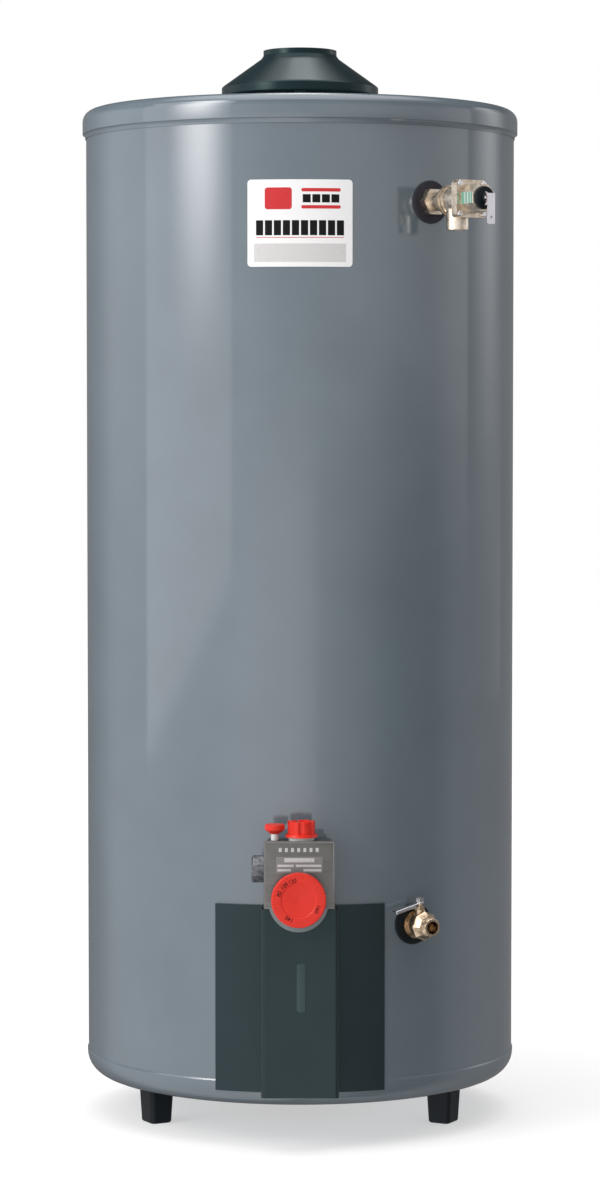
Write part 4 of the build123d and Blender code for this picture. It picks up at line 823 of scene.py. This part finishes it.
def dial_marks():
    """Ticks and numbers round the dial's rim."""
    bm = bmesh.new()
    for k in range(DIAL_TICKS):
        turn = Matrix.Rotation(radians(TICK_START + k * TICK_PITCH), 4, "Z")
        reach = 2.4 * MM if k % 3 == 0 else 1.2 * MM
        spot = Matrix.Translation((DIAL_R - 3.4 * MM - reach / 2, 0, DIAL_FACE))
        outline = rounded(box_outline(-reach / 2, -TICK_W / 2, reach / 2, TICK_W / 2), 0.1 * MM, 1)
        slab(bm, DIAL @ turn @ spot, outline, 0, 0.06 * MM, 0.02 * MM)
    make("dial_ticks", bm, ink_dial, "dial")
    for number, bearing in NUMBERS:
        text = bpy.data.curves.new("dial_number_" + number, "FONT")
        text.body = number
        text.size = NUMBER_SIZE
        text.offset = 0.12 * MM
        text.align_x = "CENTER"
        text.align_y = "CENTER"
        text.extrude = 0.04 * MM
        curve = bpy.data.objects.new(text.name, text)
        bpy.context.scene.collection.objects.link(curve)
        bpy.context.view_layer.update()
        mesh = bpy.data.meshes.new_from_object(curve)
        bpy.data.objects.remove(curve)
        turn = radians(bearing)
        reach = DIAL_R - NUMBER_IN
        spot = Matrix.Translation((reach * cos(turn), reach * sin(turn), DIAL_FACE + 0.02 * MM))
        mesh.transform(DIAL @ spot @ Matrix.Rotation(turn - pi / 2, 4, "Z"))
        bm = bmesh.new()
        bm.from_mesh(mesh)
        make("dial_number_" + number, bm, ink_dial, "dial")


dial()
dial_marks()


# ---------------------------------------------------------------- relief valve
relief_out = joints["relief_lift"]["axis"]
RELIEF = facing(relief_out, joints["test_lever_lift"]["pos_m"][2])
BONNET_HALF = 21 * MM
BONNET_BACK = 99 * MM
BONNET_TAPER = tan(radians(3))
BONNET_FACET = tan(pi / 8)  # half a facet's width over the bonnet's half height
BAND_SINK = 0.3 * MM
BAND = (  # pieces along the valve's axis, with their start, end and rise in millimetres
    ("relief_band", ink_green, 101, 125, 0.12),
    ("relief_band_stripe_1", ink_white, 108, 110, 0.2),
    ("relief_band_stripe_2", ink_white, 114, 116.5, 0.2),
    ("relief_band_stripe_3", ink_white, 120.5, 122, 0.2),
)


def relief_band():
    """The printed band on the bonnet's front facet, with plain stripes."""
    place = RELIEF @ Matrix.Rotation(pi, 4, "Z")
    for name, ink, start, end, rise in BAND:
        corners = []
        for along in (start * MM, end * MM):
            reach = BONNET_HALF - (along - BONNET_BACK) * BONNET_TAPER
            half = reach * BONNET_FACET * 0.99
            top, under = reach + rise * MM, reach - BAND_SINK
            corners += [(top, -half, along), (top, half, along), (under, half, along), (under, -half, along)]
        bm = bmesh.new()
        verts = [bm.verts.new(place @ Vector(corner)) for corner in corners]
        for loop in ((0, 1, 2, 3), (7, 6, 5, 4), (0, 4, 5, 1), (1, 5, 6, 2), (2, 6, 7, 3), (3, 7, 4, 0)):
            bm.faces.new([verts[k] for k in loop])
        make(name, bm, ink, "heater")


relief_band()


# ---------------------------------------------------------------- drain valve
drain_out = mounts["drain_hose_thread"]["axis"]
DRAIN = facing(drain_out, mounts["drain_hose_thread"]["pos_m"][2])
HOSE_R = mounts["drain_hose_thread"]["dims"]["r_mm"] * MM
HOSE_STEPS = 72      # steps round the outlet
THREAD_ROWS = 44     # rows of points along the thread
COLLAR_FLATS = 8
DRAIN_BORE = 9.5 * MM
DRAIN_SPLIT = 29 * MM
DRAIN_END = 54 * MM
COLLAR_R = 22 * MM
COLLAR_T = 5 * MM
COLLAR_EDGE = 0.8 * MM
THREAD_START = 44.5 * MM
THREAD_PITCH = 2.2 * MM
THREAD_DEPTH = 0.85 * MM


def hose_end():
    """The drain's outlet: a collar, a cone, and a hose thread cut as a true helix."""
    collar_end = DRAIN_SPLIT + COLLAR_T
    outline = [
        (DRAIN_BORE, DRAIN_SPLIT), (COLLAR_R - COLLAR_EDGE, DRAIN_SPLIT),
        (COLLAR_R, DRAIN_SPLIT + COLLAR_EDGE), (COLLAR_R, collar_end - COLLAR_EDGE),
        (COLLAR_R - COLLAR_EDGE, collar_end),
        (HOSE_R + 2.5 * MM, THREAD_START - 1.5 * MM), (HOSE_R + 0.6 * MM, THREAD_START - 0.9 * MM),
    ]
    bm = bmesh.new()
    rings = []
    for k in range(HOSE_STEPS):
        turn = 2 * pi * k / HOSE_STEPS
        facet = cos(pi / COLLAR_FLATS) / cos(turn % (2 * pi / COLLAR_FLATS) - pi / COLLAR_FLATS)
        points = [(r if r == DRAIN_BORE else r * facet, h) for r, h in outline]
        for row in range(THREAD_ROWS + 1):
            height = THREAD_START + (DRAIN_END - THREAD_START) * row / THREAD_ROWS
            phase = ((height - THREAD_START) / THREAD_PITCH - k / HOSE_STEPS) % 1.0
            ridge = min(1.0, max(0.0, 1.6 - 4 * abs(phase - 0.5)))
            fade = min(1.0, (DRAIN_END - height) / (1.2 * MM))
            points.append((HOSE_R - THREAD_DEPTH * (1 - ridge * fade), height))
        points += [(DRAIN_BORE, DRAIN_END), (DRAIN_BORE, DRAIN_END - 8 * MM)]
        rings.append([
            bm.verts.new(DRAIN @ Vector((r * cos(turn), r * sin(turn), h))) for r, h in points
        ])
    count = len(rings[0])
    for one, two in zip(rings, rings[1:] + rings[:1]):
        for i in range(count):
            j = (i + 1) % count
            bm.faces.new((one[i], two[i], two[j], one[j]))
    make("hose_thread", bm, valve_brass, "heater", ["drain_hose_end"])


STEM_OUT = 18 * MM   # the stem's axis from the jacket
STEM_R = 4.1 * MM
EYE_R = 6.4 * MM
EYE_LOW = 33 * MM
STRAP_HALF = 6 * MM
STRAP_T = 2 * MM
STRAP_FALL = radians(14)
STRAP_ROOT = 5.5 * MM
STRAP_END = 45.5 * MM
STRAP_BEVEL = 0.4 * MM
LIP_T = 1.6 * MM
LIP_DROP = 3.4 * MM
LIP_START = 10.4 * MM  # clear of the body's boss
LIP_FULL = 12 * MM


def strap_section(drop):
    """The strap cut across: a flat bar whose outer edge is turned down by a distance."""
    fold = STRAP_HALF - LIP_T
    return rounded([
        (-STRAP_HALF, 0), (fold, 0), (fold, -drop), (STRAP_HALF, -drop),
        (STRAP_HALF, STRAP_T), (-STRAP_HALF, STRAP_T),
    ], 0.7 * MM, 3)


def drain_lever():
    """The drain's lever: an eye round the stem and a falling strap with its front edge turned down."""
    pivot = DRAIN @ Matrix.Translation((0, 0, STEM_OUT))
    bm = bmesh.new()
    top = EYE_LOW + STRAP_T
    eye = rounded([(STEM_R, EYE_LOW), (EYE_R, EYE_LOW), (EYE_R, top), (STEM_R, top)], 0.4 * MM, 2)
    lathe(bm, pivot @ Matrix.Rotation(-pi / 2, 4, "X"), eye)
    down, level = sin(STRAP_FALL), cos(STRAP_FALL)
    along = Matrix(((0, -down, -level, 0), (0, level, -down, EYE_LOW), (1, 0, 0, 0), (0, 0, 0, 1)))
    flat, folded = strap_section(0.2 * MM), strap_section(LIP_DROP)
    stack(bm, pivot @ along, [
        (flat, STRAP_ROOT), (flat, LIP_START), (folded, LIP_FULL),
        (folded, STRAP_END - STRAP_BEVEL), (inset(folded, STRAP_BEVEL), STRAP_END),
    ])
    make("drain_lever_strap", bm, plated_steel, "drain_plug", ["drain_lever"])


hose_end()
drain_lever()


# ---------------------------------------------------------------- camera and floor
CAMERA_SPOT = (0, -5.481, 1.0743)
CAMERA_TILT = 87.163
LENS = 104.75
FLOOR_HALF = 14.0
FLOOR_WHITE = (0.56, 0.56, 0.56)
FLOOR_GLOW = 0.5     # lifts the floor's shadow to the photograph's pale grey


def camera():
    """The camera at the photograph's place, with colours shown as they are."""
    data = bpy.data.cameras.new("camera")
    data.lens = LENS
    eye = bpy.data.objects.new("camera", data)
    eye.location = CAMERA_SPOT
    eye.rotation_euler = (radians(CAMERA_TILT), 0, 0)
    bpy.context.scene.collection.objects.link(eye)
    bpy.context.scene.camera = eye
    bpy.context.scene.view_settings.view_transform = "Standard"


def floor():
    """A large pale floor, seen by the camera but left out of the case's reflections."""
    mesh = bpy.data.meshes.new("floor")
    corners = box_outline(-FLOOR_HALF, -FLOOR_HALF, FLOOR_HALF, FLOOR_HALF)
    mesh.from_pydata([(x, y, 0) for x, y in corners], [], [(0, 1, 2, 3)])
    glow = {"Emission_Color": (1, 1, 1, 1), "Emission_Strength": FLOOR_GLOW}
    look = Finish("floor_white", 0.9, Specular_IOR_Level=0.0, **glow)
    look.colours(look.noise(0.6, 2), FLOOR_WHITE, shade(FLOOR_WHITE, 1.04))
    mesh.materials.append(look.material)
    plane = bpy.data.objects.new("floor", mesh)
    plane.visible_glossy = False
    plane.visible_diffuse = False
    bpy.context.scene.collection.objects.link(plane)


# ---------------------------------------------------------------- light
STUDIO_R = 5.0           # distance of the cards from the tank's axis
LAMP_TINT = (0.95, 0.935, 0.945)
HOOD_LAMP = 6.5          # glow of the lamp high behind that lights the hood's cone

# Glow of the room by azimuth, below and above the horizon.
ROOM_LOW = (
    (-180, 0.2), (-143, 0.3), (-114, 0.85), (-99, 0.95), (-57, 1.05), (-11, 1.42), (2, 1.3), (12, 0.84),
    (33, 0.5), (68, 0.2), (97, 0.5), (140, 0.35), (180, 0.2),
)
ROOM_HIGH = (
    (-180, 0.2), (-143, 0.35), (-114, 1.1), (-99, 1.2), (-57, 1.2), (-33, 1.12), (0, 0.84),
    (33, 0.98), (68, 0.8), (97, 1.1), (140, 0.4), (180, 0.2),
)
ROOM_TOP = 2.0           # the curves' full scale
HORIZON = (-0.05, 0.05)  # rise of the ray over which the room changes from low to high
UPPER_WALL = (0.14, 0.4)  # rise of the ray over which the walls darken
UPPER_DARK = 0.35
CEILING = (0.72, 0.92)   # rise of the ray over which the ceiling's light comes in
CEILING_GLOW = 2.0


class Glow:
    """Node maths for the lights, over a direction or a place; every call gives an output."""

    def __init__(self, tree, coordinates):
        self.nodes, self.links = tree.nodes, tree.links
        self.nodes.clear()
        split = self.nodes.new("ShaderNodeSeparateXYZ")
        self.links.new(self.nodes.new("ShaderNodeTexCoord").outputs[coordinates], split.inputs[0])
        self.height = split.outputs["Z"]
        front = self.math("MULTIPLY", split.outputs["Y"], -1.0)
        self.azimuth = self.math("ARCTAN2", split.outputs["X"], front)

    def math(self, operation, *values):
        """One operation on outputs and plain numbers."""
        node = self.nodes.new("ShaderNodeMath")
        node.operation = operation
        for socket, value in zip(node.inputs, values):
            if isinstance(value, (int, float)):
                socket.default_value = value
            else:
                self.links.new(value, socket)
        return node.outputs[0]

    def step(self, source, start, end, low=0.0, high=1.0):
        """A smooth change from low to high as a value goes from start to end."""
        node = self.nodes.new("ShaderNodeMapRange")
        node.interpolation_type = "SMOOTHSTEP"
        for socket, value in (("From Min", start), ("From Max", end), ("To Min", low), ("To Max", high)):
            node.inputs[socket].default_value = value
        self.links.new(source, node.inputs["Value"])
        return node.outputs["Result"]

    def curve(self, table):
        """A table of azimuths and levels as a smooth curve, in shares of the room's full scale."""
        node = self.nodes.new("ShaderNodeFloatCurve")
        line = node.mapping.curves[0]
        for point, (azimuth, level) in zip(line.points, (table[0], table[-1])):
            point.location = (azimuth / 360 + 0.5, level / ROOM_TOP)
        for azimuth, level in table[1:-1]:
            line.points.new(azimuth / 360 + 0.5, level / ROOM_TOP)
        node.mapping.update()
        turn = self.math("ADD", self.math("DIVIDE", self.azimuth, 2 * pi), 0.5)
        self.links.new(turn, node.inputs["Value"])
        return node.outputs[0]

    def source(self, kind, tint, strength=1.0):
        """An emission or background shader."""
        node = self.nodes.new(kind)
        node.inputs["Color"].default_value = (*tint, 1)
        if isinstance(strength, float):
            node.inputs["Strength"].default_value = strength
        else:
            self.links.new(strength, node.inputs["Strength"])
        return node.outputs[0]


def card(name, corners, base, core=0.0, rise=(0, 1), spread=(0, 1, 2)):
    """A glowing card that lights the object and shows in its gloss.

    Over its base glow it has a core that comes in over a height band and, across, rises from the first
    azimuth of the spread to the second and is gone at the third.
    """
    mesh = bpy.data.meshes.new(name)
    mesh.from_pydata([tuple(corner) for corner in corners], [], [tuple(range(len(corners)))])
    material = bpy.data.materials.new(name)
    material.use_nodes = True
    glow = Glow(material.node_tree, "Object")
    start, peak, end = [radians(angle) for angle in spread]
    across = glow.math("MULTIPLY", glow.step(glow.azimuth, start, peak), glow.step(glow.azimuth, end, peak))
    shape = glow.math("MULTIPLY", across, glow.step(glow.height, *rise))
    level = glow.math("MULTIPLY_ADD", shape, core, base)
    surface = glow.nodes.new("ShaderNodeOutputMaterial").inputs["Surface"]
    glow.links.new(glow.source("ShaderNodeEmission", LAMP_TINT, level), surface)
    mesh.materials.append(material)
    panel = bpy.data.objects.new(name, mesh)
    panel.visible_camera = False
    panel.visible_shadow = False
    bpy.context.scene.collection.objects.link(panel)


def upright_card(left, right, low_left, low_right, high):
    """Corners of a card that stands round the object, from its azimuths and edge heights."""
    return [
        around(left, STUDIO_R, low_left), around(right, STUDIO_R, low_right),
        around(right, STUDIO_R, high), around(left, STUDIO_R, high),
    ]


def cards():
    """Softbox with its bright core at the left, a strip at the right and a lamp high behind."""
    card("softbox", upright_card(-87, -35.3, 0.13, 0.65, 5.0),
         base=1.75, core=7.0, rise=(1.2, 2.2), spread=(-73, -52, -35))
    card("right_strip", upright_card(98, 134, 0.3, 0.3, 3.6),
         base=0.5, core=1.3, rise=(0.6, 2.3), spread=(96, 117, 134))
    lamp = [(x, 2.0, z) for x, z in box_outline(-0.5, 4.4, 0.7, 7.0)]
    card("hood_lamp", lamp, base=HOOD_LAMP)


def world():
    """White to the camera; to the object a soft room whose glow follows the two curves."""
    sky = bpy.data.worlds.new("studio")
    bpy.context.scene.world = sky
    sky.use_nodes = True
    glow = Glow(sky.node_tree, "Generated")
    low, high = glow.curve(ROOM_LOW), glow.curve(ROOM_HIGH)
    above = glow.math("MULTIPLY", glow.step(glow.height, *HORIZON), glow.math("SUBTRACT", high, low))
    wall = glow.math("ADD", low, above)
    wall = glow.math("MULTIPLY", wall, glow.step(glow.height, *UPPER_WALL, 1.0, UPPER_DARK))
    ceiling = glow.step(glow.height, *CEILING, 0.0, CEILING_GLOW / ROOM_TOP)
    level = glow.math("MULTIPLY", glow.math("ADD", wall, ceiling), ROOM_TOP)
    mix = glow.nodes.new("ShaderNodeMixShader")
    seen = glow.nodes.new("ShaderNodeLightPath").outputs["Is Camera Ray"]
    room = glow.source("ShaderNodeBackground", LAMP_TINT, level)
    white = glow.source("ShaderNodeBackground", (1, 1, 1))
    for socket, output in zip(mix.inputs, (seen, room, white)):
        glow.links.new(output, socket)
    glow.links.new(mix.outputs[0], glow.nodes.new("ShaderNodeOutputWorld").inputs["Surface"])


camera()
floor()
cards()
world()
